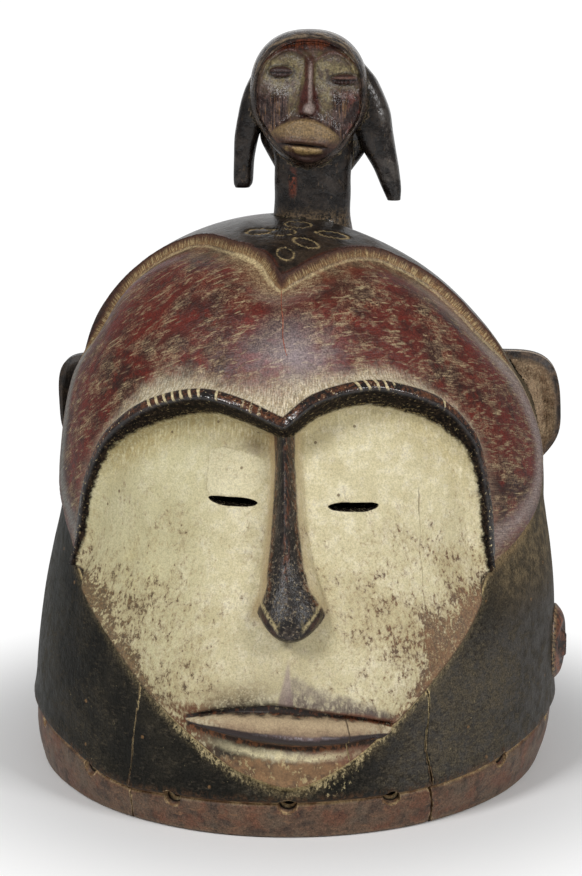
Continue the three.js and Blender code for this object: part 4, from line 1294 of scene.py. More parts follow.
def forehead_paint(s, tint):
    """Dark red earth, rubbed grey-tan in hatched strokes, pale above the brows, trimmed under the hair, with
    a painted sheen in the middle and a painted grey sheen along the bevel.
    """
    b = s.b
    x, y = s.girth, s.height + s.girth * s.girth * 0.0013
    bright = b.noise(s.mm, 12, 3, 0.7) + abs(s.girth - 8).rise(40, 110) * 0.04
    red = b.coats(
        tint.red_earth,
        ((52, 26, 19), s.cloud.rise(0.44, 0.68)),
        ((100, 31, 20), bright.rise(0.52, 0.66) * 0.75),
        ((36, 18, 14), s.mottle.rise(0.5, 0.7) * 0.6))
    level = b.noise(b.slanted(x, y, 0.04, 4.6), 3, 2, 0.6)
    slant = b.noise(b.slanted(x, y, 0.36, 4.6), 2.8, 2, 0.6)
    hatched = b.noise(b.slanted(x, y, 0.12, 10), 0.7, 1, 0.5).rise(0.44, 0.56)
    cross = b.noise(b.slanted(x, y, 1.3, 6), 0.8, 1, 0.5)
    clumps = b.noise(b.slanted(x, y, 0.2, 1.6), 14, 2, 0.6)
    spark = b.noise(b.slanted(x, y, 0.14, 9), 1.4, 1, 0.5)
    upright = b.noise(b.slanted(x, y, 1.45, 5), 0.8, 1, 0.5)
    more = (clumps - 0.5) * 0.4 + s.height.rise(270, 235) * 0.03
    steep = (slant + more + s.girth.rise(-20, 60) * 0.03).rise(0.55, 0.66)
    rub = (level + more).rise(0.53, 0.64).most(steep)
    stipple = (s.fine * 0.6 + s.grit * 0.4).rise(0.46, 0.6)
    dusty = (clumps * 0.7 + s.cloud * 0.3 + s.height.rise(245, 288) * 0.06).rise(0.47, 0.58)
    tan = b.mix((148, 128, 98), (104, 82, 64), s.mottle.rise(0.35, 0.6))
    cloudy = (s.cloud * 0.6 + s.mottle * 0.4).rise(0.34, 0.54)
    # A painted sheen, pale purple-grey, across the middle of the forehead.
    sheen = s.girth.band(10, 18, 32) * s.height.band(245, 7, 19) * cloudy
    reach = s.girth.band(2, 14, 34) * 19 + s.girth.band(-72, 22, 34) * 13 + s.girth.band(62, 20, 34) * 7 + 8
    share = s.brow / reach + (s.mottle - 0.5) * 0.7 + (s.grit - 0.5) * 0.6
    pale = share.rise(1.2, 0.1) * s.height.rise(178, 215)
    side = s.brow.rise(13, 2) * s.height.rise(212, 190)
    far = abs(s.girth).rise(138, 168) * s.height.rise(268, 240)
    # A painted grey sheen along the bevel under the hair, stronger at the sides.
    bevel = (s.hair + s.wobble).band(13, 5, 6) * s.height.rise(282, 262)
    blue = b.mix((146, 130, 124), (122, 122, 116), s.girth.rise(20, -60))
    crack = abs(s.crack).rise(0.5, 0.1)
    colour = b.coats(
        red,
        (tan, (stipple * 0.6 + cross.rise(0.5, 0.6) * 0.4) * dusty * 0.5),
        (tan, rub * (hatched * 0.65 + stipple * 0.2 + 0.08)),
        ((164, 148, 114), (spark + (clumps - 0.5) * 0.3).rise(0.66, 0.71) * 0.55),
        ((180, 166, 168), sheen * 0.8),
        (b.mix((174, 160, 130), (214, 204, 178), upright.rise(0.42, 0.58)), pale * 0.88),
        ((132, 110, 92), side * (hatched * 0.5 + 0.25)),
        ((78, 62, 55), far * 0.5 * s.hair.rise(26, 10)),
        (blue, bevel * (0.4 + hatched * 0.3 + abs(s.girth).rise(60, 120) * 0.2)))
    colour, trim, hatch = hairline_paint(s, colour, stipple)
    colour = b.mix(colour, (160, 84, 60), crack * 0.8)
    rough = 0.42 - sheen * 0.1 + rub * 0.12 + pale * 0.26 + trim * 0.2
    height = rub * 0.1 + hatched * 0.06 + (s.mottle - 0.5) * 0.5 - crack * 0.3 + hatch * trim * 0.3
    return colour, rough, height


def brow_paint(s):
    """The brow: a black glossy bar, partly brown along its upper side, with clay caught in its nicks."""
    b, run = s.b, s.brow_run
    upper = s.brow.rise(-1.6, 1.2) * s.height.rise(150, 175)
    comb = (((run + s.brow * 0.35 + s.wobble * 0.35) / 4.6).fract() - 0.5) * 4.6
    ticked = run.band(125.5, 16, 1.5) + run.band(235, 10.5, 1.5) * 0.9 + run.band(150, 2, 1)
    ticked = ticked + run.band(272, 1.6, 1) + run.band(168, 8, 2) * 0.45
    thick = 0.35 + s.mottle * 0.7
    nicked = (ticked + s.grit * 1.6 - 0.8).rise(0.3, 0.8)
    ticks = (thick - abs(comb)).rise(-0.25, 0.2) * nicked * (s.brow + s.wobble * 0.8).rise(-1.8, 0.2)
    spill = s.chips * 0.5 + s.grit * 0.5 + s.brow.rise(-3.2, -6.4) * 0.07 + s.height.rise(190, 150) * 0.04
    spill = spill.rise(0.6, 0.65)
    bar = b.coats(
        (20, 16, 14),
        ((50, 43, 40), (s.grit * 0.5 + s.mottle * 0.5).rise(0.44, 0.66)),
        ((98, 56, 30), upper * (s.grit * 0.4 + s.mottle * 0.6).rise(0.42, 0.6) * 0.75),
        ((22, 15, 12), s.brow.band(3.7, 0.5, 0.9) * 0.8),
        ((200, 184, 142), ticks * 0.85),
        ((176, 162, 124), spill * 0.8))
    rough = 0.2 + ticks * 0.35 + spill * 0.45 + (s.mottle - 0.5) * 0.15
    return bar, rough, s.grain * 0.06 - ticks * 0.3 + (s.mottle - 0.5) * 0.5


def eave_paint(s):
    """The shaded side of the brow bar: black, with a few clay specks where it meets the face."""
    edge = (s.chips * 0.5 + s.grit * 0.5 + s.brow.rise(-3.4, -7) * 0.14).rise(0.57, 0.64)
    colour = s.b.coats(
        (13, 10, 9),
        ((44, 34, 26), (s.grit * 0.5 + s.flecks * 0.5).rise(0.42, 0.62)),
        ((120, 106, 76), edge * 0.8))
    return colour, 0.7 + edge * 0.15, s.grit * 0.2


def cap_paint(s):
    """The hair: black-brown and polished, with a painted grey sheen on the left and pale cut ovals in front.
    """
    # The left of the cap is lighter, in a painted grey sheen along the grain.
    left = s.girth.rise(-20, -110) * s.girth.rise(-350, -260)
    ring = abs(s.oval + s.wobble * 0.15).rise(0.8, 0.25)
    colour = s.b.coats(
        (23, 18, 14),
        ((52, 42, 33), (s.mottle * 0.5 + s.cloud * 0.5).rise(0.42, 0.6)),
        ((66, 58, 48), left * s.grain.rise(0.3, 0.7) * 0.4),
        ((112, 90, 64), (s.flecks * 0.5 + s.grit * 0.5).rise(0.6, 0.66) * 0.4),
        ((152, 132, 94), ring * (s.flecks * 0.6 + s.mottle * 0.4).rise(0.4, 0.54) * 0.8),
        ((70, 32, 22), s.hair.rise(-2.6, -0.8) * s.mottle.rise(0.35, 0.6) * 0.8))
    rough = 0.34 + ring * 0.25 + (s.mottle - 0.5) * 0.2
    return colour, rough, s.grain * 0.15 - ring * 0.25 + (s.mottle - 0.5) * 0.5


def jaw_clay(s, near_jaw):
    """Clay carried past the jaw, as coats: flakes, a rubbed margin, smears, and a pale and a brown line."""
    b = s.b
    patch = s.girth.band(30, 9, 11) * s.height.band(32, 5, 6) * 0.12
    near_chin = s.girth.band(10, 46, 24) * s.face.rise(-6, -2) * 0.1
    flakes = s.flecks * 0.4 + s.chips * 0.4 + s.mottle * 0.2 + patch + near_chin + near_jaw * 0.6
    edge = s.face + s.wobble
    margin = edge.rise(-9, -1.5) * s.height.rise(140, 118) * s.grit.rise(0.3, 0.65)
    smear = s.flecks * 0.5 + s.chips * 0.5 + edge.rise(-8, -2) * 0.1 + s.height.rise(120, 60) * 0.02
    smear = smear.rise(0.55, 0.64)
    dabs = s.girth.band(-34, 20, 22).most(s.girth.band(40, 20, 22)) * 0.7 + 0.15
    line = s.face.band(-1.7, 0.9, 0.7) * s.height.rise(134, 118)
    return (
        ((178, 164, 124), flakes.rise(0.62, 0.68) * 0.75),
        ((118, 103, 74), margin * 0.55),
        ((184, 168, 128), smear * edge.rise(-9, -4) * s.height.rise(128, 90) * dabs),
        (b.mix((178, 159, 116), (140, 118, 84), s.mottle.rise(0.46, 0.6)), line),
        ((62, 45, 30), (s.face + s.wobble * 0.1).band(-0.4, 0.35, 0.5) * 0.9))


def body_paint(s, tint):
    """The hood below: charcoal black wood, scuffed olive, rubbed tan beside the jaw and the groove, with a
    painted bluish sheen at the far left.
    """
    b = s.b
    near = abs(s.girth).rise(350, 260)
    right = s.girth.rise(96, 150) * near
    smoky = b.mix((68, 65, 61), (46, 42, 36), s.mottle.rise(0.4, 0.62))
    low_right = s.girth.rise(34, 72) * near * s.height.rise(116, 88)
    olive = s.girth.rise(112, 138) * s.height.rise(96, 128) * near
    rubbed = b.mix((108, 94, 70), (66, 58, 45), (s.mottle * 0.6 + s.flecks * 0.4).rise(0.42, 0.58))
    scuff = b.noise(b.stretch(s.mm, (0.5, 0.5, 1), (0.3, 0.5, 0)), 1.6, 3, 0.7)
    chafed = s.girth.band(100, 44, 30) * s.height.band(56, 32, 24) * 0.12
    near_jaw = s.face.rise(-14, -1) * 0.07 * s.height.rise(160, 120)
    scuffed = (scuff * 0.6 + s.mottle * 0.4 + chafed + near_jaw + (s.cloud - 0.5) * 0.25).rise(0.48, 0.72)
    grey = b.mix((104, 94, 76), (76, 70, 60), s.grit.rise(0.35, 0.6))
    dots = b.cells(s.mm, 15).rise(0.085, 0.05)
    behind = (s.hair + s.wobble).rise(-8, -1.5) * s.height.rise(275, 240) * s.girth.rise(20, 60) * near
    above = (s.groove + s.wobble * 0.5).rise(7, 1) * s.flecks.rise(0.42, 0.6)
    colour = b.coats(
        tint.black_wood,
        ((38, 35, 28), s.cloud.rise(0.38, 0.66)),
        ((12, 12, 10), s.mottle.rise(0.45, 0.68) * 0.7),
        # A painted bluish sheen far round on the left side.
        ((40, 43, 40), s.girth.rise(-120, -170) * near * 0.5),
        ((66, 57, 46), right * s.height.rise(40, 110) * 0.6),
        (smoky, low_right * 0.75),
        (rubbed, olive * 0.85),
        (grey, scuffed * (0.5 + s.girth.rise(40, 80) * near * 0.3)),
        ((128, 98, 66), dots * 0.65),
        *jaw_clay(s, near_jaw),
        ((128, 108, 78), behind * s.flecks.rise(0.3, 0.6) * 0.85),
        ((92, 64, 42), above * 0.6))
    rough = 0.42 + scuffed * 0.25 + olive * 0.2 + (s.mottle - 0.5) * 0.25
    height = s.grain * 0.15 - scuffed * 0.1 + (s.mottle - 0.5) * 0.7 + (s.cloud - 0.5) * 1.5
    return colour, rough, height


def band_paint(s, tint):
    """The rim below the groove: worn reddish brown and grey in soft blots, with a pale line in the groove."""
    b = s.b
    level = b.noise(b.stretch(s.mm, (0.25, 0.25, 1)), 2.4, 3, 0.65)
    blots = b.noise(s.mm, 15, 3, 0.65)
    cut = (s.groove + s.wobble * 0.3).band(-0.7, 0.8, 0.9)
    colour = b.coats(
        tint.rim_brown,
        ((58, 48, 42), s.mottle.rise(0.46, 0.64) * 0.7),
        ((104, 64, 46), blots.rise(0.5, 0.64) * 0.6),
        ((96, 84, 70), blots.rise(0.48, 0.36) * 0.5),
        ((134, 98, 70), level.rise(0.58, 0.7) * 0.45),
        ((34, 27, 24), (s.chips * 0.6 + s.mottle * 0.4).rise(0.57, 0.64) * 0.55),
        ((128, 108, 82), s.height.rise(4, 0.8) * s.grit.rise(0.35, 0.6) * 0.5),
        (b.mix((168, 144, 106), (116, 86, 60), s.mottle.rise(0.42, 0.6)), cut * 0.85))
    return colour, 0.5 + (s.mottle - 0.5) * 0.25, level * 0.3 + (s.mottle - 0.5) * 0.9


def hood_finish(s, tint):
    """The hood's zones laid over each other along the carved lines."""
    b = s.b
    finish = s.coat(*body_paint(s, tint), 0.1, 1.4)
    band = s.coat(*band_paint(s, tint), 0.25, 1.1)
    finish = b.over(finish, band, (s.groove + s.wobble * 0.2).rise(1.1, -0.1))
    cap = s.coat(*cap_paint(s), 0.3, 1.5)
    finish = b.over(finish, cap, s.height.rise(232, 262) * s.hair.rise(0.6, -0.6))
    forehead = s.coat(*forehead_paint(s, tint), 0.32, 1.1)
    finish = b.over(finish, forehead, (s.hair + s.wobble * 0.12).rise(-0.9, 0.9))
    clay = s.coat(*nose_paint(s, chin_paint(s, face_paint(s, tint))), 0.35, 0.5)
    finish = b.over(finish, clay, (s.face + s.wobble * 0.16).rise(-0.3, 0.6))
    aside = s.height.rise(222, 186)
    edge = s.wobble * 0.35 + (s.grit - 0.5) * 1.2
    upper = 4.1 - aside * 1.5 - s.brow
    lower = s.brow + 5.8 - aside * 2.2 + edge * 1.3
    shaded = (s.brow + s.wobble * 0.3).rise(-0.9, -2.4)
    brow = b.over(s.coat(*brow_paint(s), 0.6, 1.3), s.coat(*eave_paint(s), 0.06, 1.2), shaded)
    return b.over(finish, brow, upper.least(lower).rise(-0.5, 0.5))


def crest_eyes(s, x, z):
    """The crest's eyes, as coats: a dark ring, brown lids, a light edge on the right one, and the slits."""
    b = s.b
    left = b.length(b.vector((x + 15) / 6.8, (z - 12.7) / 3.1))
    right = b.length(b.vector((x - 19.3) / 8.1, (z - 8.6) / 2.9))
    lids = left.least(right)
    slit = left.rise(0.95, 0.8) * z.band(12.2, 0.35, 0.4) + right.rise(0.95, 0.8) * z.band(8.0, 0.35, 0.4)
    return (
        ((22, 12, 10), lids.band(1.1, 0.12, 0.25) * 0.9),
        ((48, 28, 23), lids.rise(1.0, 0.85)),
        ((108, 72, 54), right.rise(0.95, 0.6) * z.band(9.4, 0.4, 0.7) * 0.6),
        ((14, 8, 7), slit))


def crest_mouth(s, x, z, below):
    """The crest's mouth, as coats: clay on the muzzle, a dark chin, a pale lower lip, the line between."""
    b = s.b
    line = -25.4 - (x + 3) * 0.08 - 0.005 * ((x + 3) * (x + 3))
    muzzle = b.coats(
        (120, 98, 66),
        ((76, 52, 40), (line - z + s.wobble).rise(-7, -1.5)),
        ((88, 66, 46), s.mottle.rise(0.5, 0.64) * 0.6))
    foot = (z - line + 5.4 - abs(x + 3) * 0.2).rise(-0.8, 0.8)
    lower_lip = (z - line + 1.2).rise(1.0, -0.6) * foot * (11 - abs(x + 3)).rise(-1, 3)
    return (
        (muzzle, below * (z - line).rise(-0.6, 0.6) * 0.95),
        (b.mix((36, 20, 17), (66, 44, 36), s.mottle), (z - line).rise(0.6, -0.6) * z.rise(-21, -24)),
        (b.mix((140, 116, 76), (92, 66, 44), s.mottle.rise(0.45, 0.62)), lower_lip * 0.92),
        ((18, 10, 8), (z - line).band(0, 0.4, 0.7) * abs(x + 3).rise(15, 12)))


def crest_skin(s, x, z, streaks, low, olive, below):
    """The crest's face: streaked cheeks, olive clay round the eyes, scratched top, worn brows, and a painted
    highlight, as of wear, on the nose.
    """
    b = s.b
    clay = b.mix((122, 110, 76), (66, 52, 34), (s.mottle * 0.5 + s.flecks * 0.5).rise(0.42, 0.6))
    scratches = (streaks * 0.3 + s.mottle * 0.7 + abs(x - 1) * 0.006).rise(0.44, 0.6)
    top = (z + s.wobble).rise(22.5, 26) * abs(x - 3).rise(27, 14)
    nose = (abs(x - 0.2) - z.rise(10, -6) * 3).rise(3.2, 1.6) * z.band(6, 15.5, 2)
    # A painted highlight, as of wear, along the nose's ridge and on its tip.
    tip = b.length(b.vector(x - 0.4, z + 6)).rise(4.2, 1.5)
    worn = abs(x - 0.9).rise(1.7, 0.2) * z.band(5, 12, 4) * 0.8 + tip
    left_arc = z - 24.6 + 0.042 * ((x + 11) * (x + 11))
    right_arc = z - 22.8 + 0.045 * ((x - 13) * (x - 13))
    arcs = left_arc.band(0, 0.7, 1.0) * x.rise(1, -4) + right_arc.band(0, 0.7, 1.0) * x.rise(1, 5)
    return b.coats(
        (36, 18, 14),
        ((84, 66, 60), (s.mottle * 0.6 + s.flecks * 0.4).rise(0.42, 0.62)),
        ((122, 92, 60), streaks.rise(0.56, 0.66) * low * 0.6),
        ((24, 11, 9), streaks.rise(0.46, 0.38) * low * 0.85),
        ((92, 34, 24), low * x.rise(16, 24) * s.mottle.rise(0.45, 0.6) * 0.6),
        (clay, olive * 0.85),
        (b.mix((84, 42, 24), (32, 17, 13), scratches), top),
        (b.mix((40, 16, 13), (80, 34, 26), s.mottle), nose * 0.92),
        ((168, 152, 144), (worn * s.mottle.rise(0.2, 0.5)).least(1) * 0.7),
        ((66, 28, 18), arcs * 0.75),
        *crest_eyes(s, x, z),
        *crest_mouth(s, x, z, below))


def crest_paint(s):
    """The head on top: dark red-brown polished wood with round strokes on the hair, and the face in it."""
    b = s.b
    x, z, share = s.across, s.along, s.level
    framed = share.rise(0.90, 0.85)
    streaks = b.noise(b.stretch(b.vector(x, z), (1, 0.07, 1)), 0.9, 2, 0.55)
    strokes = b.noise(b.vector(share * 33, x * 0.08, z * 0.08), 0.9, 2, 0.6)
    low = z.rise(5, -1) * abs(x).rise(5, 12)
    olive = (z + s.wobble * 1.5).band(13, 8, 7) * abs(x - 1).rise(31, 22)
    olive = olive.most(abs(abs(x - 0.5) - 8.5).rise(5, 1.5) * z.band(0, 9, 5) * 0.8)
    arc = -11.5 - 0.026 * ((x + 3) * (x + 3))
    below = (arc - z + s.wobble * 0.4).rise(-0.6, 0.8) * abs(x + 3).rise(21, 17)
    colour = b.coats(
        (26, 18, 15),
        ((64, 50, 41), (s.mottle * 0.6 + s.grit * 0.4).rise(0.44, 0.62)),
        ((126, 108, 86), strokes.rise(0.48, 0.64) * (0.25 + z.rise(0, 30) * 0.6)),
        (crest_skin(s, x, z, streaks, low, olive, below), framed),
        ((18, 11, 9), share.band(0.885, 0.008, 0.014) * 0.85))
    rough = 0.26 + olive * framed * 0.2 + below * framed * 0.24 + (s.mottle - 0.5) * 0.25
    height = s.grain * 0.1 + streaks * low * framed * 0.6 + (s.mottle - 0.5) * 0.9
    height = height + (s.grit - 0.5) * (0.3 - below * 0.25) + strokes * 0.3
    return colour, rough, height


def bars_paint(s):
    """Neck and tresses: dark polished wood with upright grain, a painted grey sheen on the tresses, painted
    shade under the chin, and one orange rub.
    """
    patch = s.girth.band(0.5, 1.5, 1.6) * s.height.band(323, 6, 5)
    under_chin = s.height.rise(330, 340) * abs(s.girth - 10).rise(22, 14)
    dust = (s.height + s.wobble * 2).rise(311, 303)
    colour = s.b.coats(
        (18, 14, 12),
        ((44, 37, 32), (s.mottle * 0.6 + s.cloud * 0.4).rise(0.42, 0.6)),
        ((84, 68, 50), (s.grain * 0.35 + s.flecks * 0.65).rise(0.56, 0.66) * 0.5),
        # A painted grey sheen on the tresses' outer sides, and painted shade under the chin below.
        ((74, 70, 66), abs(s.girth - 8).rise(36, 44) * s.mottle.rise(0.45, 0.6) * 0.5),
        ((120, 52, 26), patch * s.mottle.rise(0.4, 0.5) * 0.8),
        ((12, 9, 8), under_chin * 0.7),
        ((120, 100, 74), dust * s.grit.rise(0.35, 0.6) * 0.5))
    return colour, 0.28 + (s.mottle - 0.5) * 0.3, s.grain * 0.2 + (s.mottle - 0.5) * 0.8


def ear_paint(s):
    """The ears: a rubbed tan dish inside a dark rim, and a darker ear on the left."""
    b = s.b
    dish = s.level.rise(0.93, 0.76) * s.level.rise(0.0, 0.05)
    rubbed = b.coats(
        (178, 152, 122),
        ((118, 94, 72), (s.mottle * 0.6 + s.grit * 0.4).rise(0.4, 0.62)),
        ((190, 168, 136), s.grain.rise(0.52, 0.66) * 0.5))
    colour = b.coats(
        (36, 27, 22),
        ((84, 66, 50), s.mottle.rise(0.4, 0.62)),
        (rubbed, dish * s.girth.rise(-10, 10)),
        ((30, 28, 25), s.girth.rise(10, -10) * 0.7))
    return colour, 0.48 + (s.mottle - 0.5) * 0.2, s.grain * 0.3 + (s.mottle - 0.5) * 0.6


def boss_paint(s):
    """The small head on the side: black-brown, its raised parts rubbed red and tan."""
    colour = s.b.coats(
        (40, 30, 25),
        ((96, 60, 42), (s.mottle * 0.6 + s.grit * 0.4).rise(0.44, 0.6)),
        ((132, 80, 54), s.level.band(0.78, 0.12, 0.1) * s.flecks.rise(0.4, 0.56) * 0.8),
        ((150, 128, 92), s.level.rise(0.88, 1.0) * s.grit.rise(0.35, 0.55) * 0.7))
    return colour, 0.42 + (s.mottle - 0.5) * 0.2, s.grain * 0.2 + (s.mottle - 0.5) * 0.6


def hollow_paint(s):
    """The hollow: bare brown wood, dusty, with upright tool marks; painted shade deep in the cord holes and
    cracks, and the holes' mouths worn pale with a painted highlight.
    """
    b = s.b
    worn = b.mix((212, 190, 148), (156, 128, 94), s.mottle.rise(0.4, 0.6))
    colour = b.coats(
        (104, 80, 58),
        ((66, 48, 35), (s.cloud * 0.6 + s.mottle * 0.4).rise(0.42, 0.6)),
        ((134, 108, 80), s.grain.rise(0.52, 0.7) * 0.5),
        # Painted shade deep in the cord holes and cracks; the holes' mouths pale, both worn and painted as
        # lit.
        ((10, 8, 6), s.across.rise(0.1, 0.25)),
        (worn, s.across.rise(0.6, 0.95)))
    return colour, 0.8 + (s.mottle - 0.5) * 0.1, s.grain * 0.4 + (s.cloud - 0.5) * 2


def painted_wood(tint):
    """The one finish of the carving: each part's own finish in the places that its field marks."""
    material = bpy.data.materials.new("painted_wood")
    b = Board(material)
    s = Surface(b)
    finish = hood_finish(s, tint)
    for mask, paint, gloss, contrast in (
            (s.bars, bars_paint(s), 0.45, 1.4),
            (s.crest, crest_paint(s), 0.45, 1.4),
            (s.ear, ear_paint(s), 0.35, 1.3),
            (s.boss, boss_paint(s), 0.5, 1.4),
            (s.inside, hollow_paint(s), 0.2, 1.2)):
        finish = b.over(finish, s.coat(*paint, gloss, contrast), mask.rise(0.42, 0.58))
    b.add("ShaderNodeOutputMaterial", None, {"Surface": finish})
    return material


# Settings that a user would change


def shade(name, description, colour):
    """A setting that holds a colour."""
    return bpy.props.FloatVectorProperty(
        name=name, description=description, subtype="COLOR", size=4, min=0, max=1, default=colour)


class MaskFinish(bpy.types.PropertyGroup):
    """Main colours of the paint."""

    white_clay: shade("White clay", "Colour of the clay on the face", earth(199, 189, 153))
    red_earth: shade("Red earth", "Colour of the forehead", earth(88, 34, 25))
    black_wood: shade("Black wood", "Colour of the hood below the face", earth(26, 25, 21))
    rim_brown: shade("Rim brown", "Colour of the band below the groove", earth(98, 76, 60))


class MaskCuts(bpy.types.PropertyGroup):
    """Sizes of what is cut into the hood, in the scene's metres."""

    crack_depth: bpy.props.FloatProperty(
        name="Crack depth", description="How deep the shrinkage cracks go where they are widest",
        default=0.006, min=0.001, max=0.01, unit="LENGTH")
    show_cracks: bpy.props.BoolProperty(
        name="Cracks", description="Cut the shrinkage cracks at the rim", default=True)


class StudioLight(bpy.types.PropertyGroup):
    """Light and floor of the studio."""

    key_power: bpy.props.FloatProperty(
        name="Main light", description="Power of the main soft light", default=13.5, min=0, unit="POWER")
    fill_power: bpy.props.FloatProperty(
        name="Fill light", description="Power of the light from the other side", default=9.6, min=0,
        unit="POWER")
    backdrop: bpy.props.FloatProperty(
        name="Backdrop", description="Brightness of the white backdrop behind the mask", default=1.1, min=0)
    room: bpy.props.FloatProperty(
        name="Room", description="Brightness of the room in front of the mask", default=0.24, min=0)
    floor: shade("Floor", "Colour of the floor", (0.9, 0.9, 0.9, 1.0))


# Operators


class MASK_OT_carve_hood(bpy.types.Operator):
    """Carve the hood: its outside with the face, less the hollow for the head"""

    bl_idname = "mask.carve_hood"
    bl_label = "Carve the hood"

    def execute(self, context):
        outside = hood_outside()
        combine(outside, hood_hollow(), "DIFFERENCE")
        outside.name = PIECE
        return {"FINISHED"}


class MASK_OT_carve_sides(bpy.types.Operator):
    """Add the two ears and the small head on the right side to the hood"""

    bl_idname = "mask.carve_sides"
    bl_label = "Carve the ears and side head"

    def execute(self, context):
        sides = side_head()
        for part in (ear(1), ear(-1)):
            combine(sides, part, "UNION")
        combine(bpy.data.objects[PIECE], sides, "UNION")
        return {"FINISHED"}


class MASK_OT_carve_crest(bpy.types.Operator):
    """Add the neck, the head and its two tresses on top of the hood"""

    bl_idname = "mask.carve_crest"
    bl_label = "Carve the crest"

    def execute(self, context):
        crest = crest_head()
        for name, stations, power in (
                ("neck", NECK, 0.85),
                ("left_tress", TRESS_LEFT, 0.7),
                ("right_tress", TRESS_RIGHT, 0.7),
                ("nape", NAPE, 0.8)):
            combine(crest, bar(name, stations, power, bars=1.0), "UNION")
        combine(bpy.data.objects[PIECE], crest, "UNION")
        return {"FINISHED"}


class MASK_OT_pierce(bpy.types.Operator):
    """Cut the eye slits, the cord holes and the shrinkage cracks"""

    bl_idname = "mask.pierce"
    bl_label = "Pierce the wall"

    def execute(self, context):
        mask = bpy.data.objects[PIECE]
        cutters = [slit_cutter(*place) for place in SLITS] + [hole_cutter(girth) for girth in RIM_HOLES]
        if context.scene.mask_cuts.show_cracks:
            depth = context.scene.mask_cuts.crack_depth * 1000
            # Both cracks take a painted shade, darker in the right one.
            cutters += [crack_cutter(CRACK_RIGHT, depth, 0.3), crack_cutter(CRACK_LEFT, depth, 0.15)]
        for cutter in cutters[1:]:
            combine(cutters[0], cutter, "UNION")
        combine(mask, cutters[0], "DIFFERENCE")
        return {"FINISHED"}


class MASK_OT_paint(bpy.types.Operator):
    """Paint the carving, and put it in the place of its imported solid"""

    bl_idname = "mask.paint"
    bl_label = "Paint the mask"

    def execute(self, context):
        mask = bpy.data.objects[PIECE]
        mask.data.materials.clear()
        mask.data.materials.append(painted_wood(context.scene.mask_finish))
        mask.data.shade_smooth()
        mask.data.set_sharp_from_angle(angle=SHARP_ANGLE)
        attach(mask, "root")
        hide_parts(NODE)
        return {"FINISHED"}


class MASK_OT_stage(bpy.types.Operator):
    """Set out the floor, the soft lights and the camera"""

    bl_idname = "mask.stage"
    bl_label = "Set the stage"

    def execute(self, context):
        studio = context.scene.mask_studio
        make_floor(studio)
        make_light("key", KEY_PLACE, studio.key_power)
        make_light("fill", FILL_PLACE, studio.fill_power)
        make_sky(context.scene, studio)
        make_camera(context.scene)
        context.scene.view_settings.view_transform = "Standard"
        return {"FINISHED"}


class MASK_PT_panel(bpy.types.Panel):
    """Steps of the carving in order, with their settings"""

    bl_label = "Helmet mask"
    bl_idname = "MASK_PT_panel"
    bl_space_type = "VIEW_3D"
    bl_region_type = "UI"
    bl_category = "Mask"

    def draw(self, context):
        layout = self.layout
        for step in STEPS:
            layout.operator(step)
        for group in ("mask_cuts", "mask_finish", "mask_studio"):
            settings = getattr(context.scene, group)
            for name in settings.bl_rna.properties.keys():
                if name not in ("rna_type", "name"):
                    layout.prop(settings, name)


# The studio


def make_floor(studio):
    """A wide level floor under the rim, as one quad, in plain matt paint with the faintest unevenness."""
    mesh = bpy.data.meshes.new("floor")
    corners = [(x * FLOOR_HALF, y * FLOOR_HALF, 0) for x, y in ((-1, -1), (1, -1), (1, 1), (-1, 1))]
    mesh.from_pydata(corners, [], [(0, 1, 2, 3)])
    floor = bpy.data.objects.new("floor", mesh)
    bpy.context.scene.collection.objects.link(floor)
    material = bpy.data.materials.new("floor_paint")
    b = Board(material)
    place = b.add("ShaderNodeTexCoord", output="Object")
    cloud = b.noise(place, 0.4, 2)
    colour = b.mix(tuple(studio.floor), (0.86, 0.86, 0.86, 1.0), cloud * 0.2)
    paint = b.add("ShaderNodeBsdfPrincipled", None, {"Base Color": colour, "Roughness": 0.8})
    glow = b.add("ShaderNodeEmission", None, {"Color": colour, "Strength": 1.2})
    seen = b.add("ShaderNodeLightPath", output="Is Camera Ray") * b.length(place).rise(0.15, 0.3) * 0.95
    b.add("ShaderNodeOutputMaterial", None, {"Surface": b.over(paint, glow, seen)})
    mesh.materials.append(material)
    return floor


def make_light(name, place, power):
    """A soft square light that looks at the middle of the mask."""
    data = bpy.data.lights.new(name, "AREA")
    data.energy = power
    data.size = LIGHT_SIZE
    light = bpy.data.objects.new(name, data)
    light.location = place
    light.rotation_euler = (LIGHT_TARGET - light.location).to_track_quat("-Z", "Y").to_euler()
    bpy.context.scene.collection.objects.link(light)


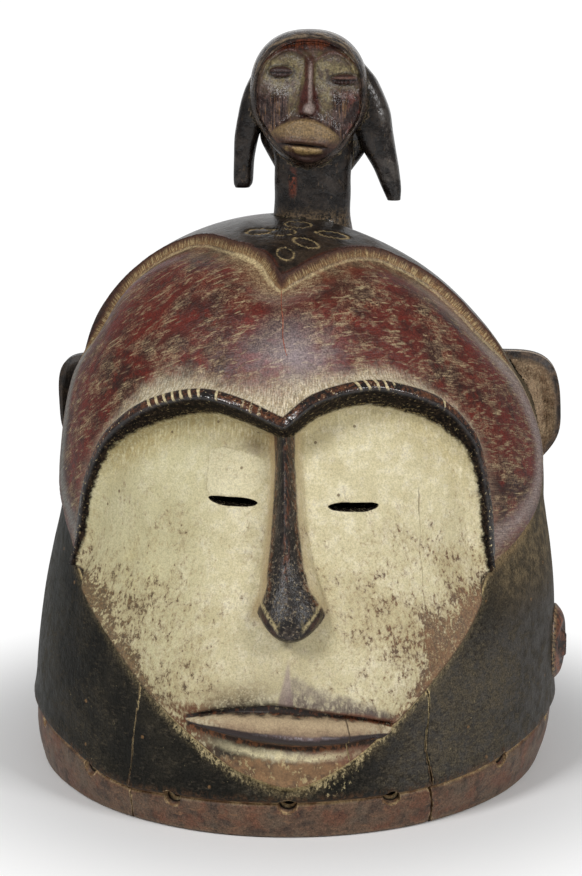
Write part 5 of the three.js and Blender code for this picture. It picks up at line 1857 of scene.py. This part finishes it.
def make_sky(scene, studio):
    """A white backdrop behind the mask, and a dimmer room in front of it."""
    world = bpy.data.worlds.new("studio")
    b = Board(world)
    direction = b.add("ShaderNodeTexCoord", output="Generated")
    behind = b.add("ShaderNodeSeparateXYZ", None, {"Vector": direction}, "Y").rise(0.72, 0.95)
    glow = behind * (studio.backdrop - studio.room) + studio.room
    background = b.add("ShaderNodeBackground", None, {"Color": (1, 1, 1, 1), "Strength": glow})
    b.add("ShaderNodeOutputWorld", None, {"Surface": background})
    scene.world = world


def make_camera(scene):
    """The camera of the photograph: in front, a little to the right, and looking down on the mask."""
    data = bpy.data.cameras.new("camera")
    data.sensor_width = 36
    data.lens = CAMERA_LENS
    data.shift_x = CAMERA_SHIFT
    data.clip_start = 0.01
    camera = bpy.data.objects.new("camera", data)
    camera.location = (
        CAMERA_DISTANCE * math.sin(CAMERA_TURN) + CENTRE_SHIFT[0] / 1000,
        -CAMERA_DISTANCE * math.cos(CAMERA_TURN) + CENTRE_SHIFT[1] / 1000,
        CAMERA_HEIGHT)
    camera.rotation_euler = (math.pi / 2 - CAMERA_DOWN, 0, CAMERA_TURN)
    scene.collection.objects.link(camera)
    scene.camera = camera


STEPS = ["mask.carve_hood", "mask.carve_sides", "mask.carve_crest", "mask.pierce", "mask.paint", "mask.stage"]
GROUPS = {"mask_finish": MaskFinish, "mask_cuts": MaskCuts, "mask_studio": StudioLight}
CLASSES = [
    MaskFinish, MaskCuts, StudioLight, MASK_OT_carve_hood, MASK_OT_carve_sides, MASK_OT_carve_crest,
    MASK_OT_pierce, MASK_OT_paint, MASK_OT_stage, MASK_PT_panel]


def register():
    """Add the classes to Blender, and the settings to its scenes."""
    for cls in CLASSES:
        bpy.utils.register_class(cls)
    for name, group in GROUPS.items():
        setattr(bpy.types.Scene, name, bpy.props.PointerProperty(type=group))


def unregister():
    """Take them away again."""
    for name in GROUPS:
        delattr(bpy.types.Scene, name)
    for cls in reversed(CLASSES):
        bpy.utils.unregister_class(cls)


def main():
    """Run every step in order."""
    register()
    for step in STEPS:
        group, name = step.split(".")
        result = getattr(getattr(bpy.ops, group), name)()
        if result != {"FINISHED"}:
            raise RuntimeError(f"{step} did not finish")


if __name__ == "__main__":
    main()
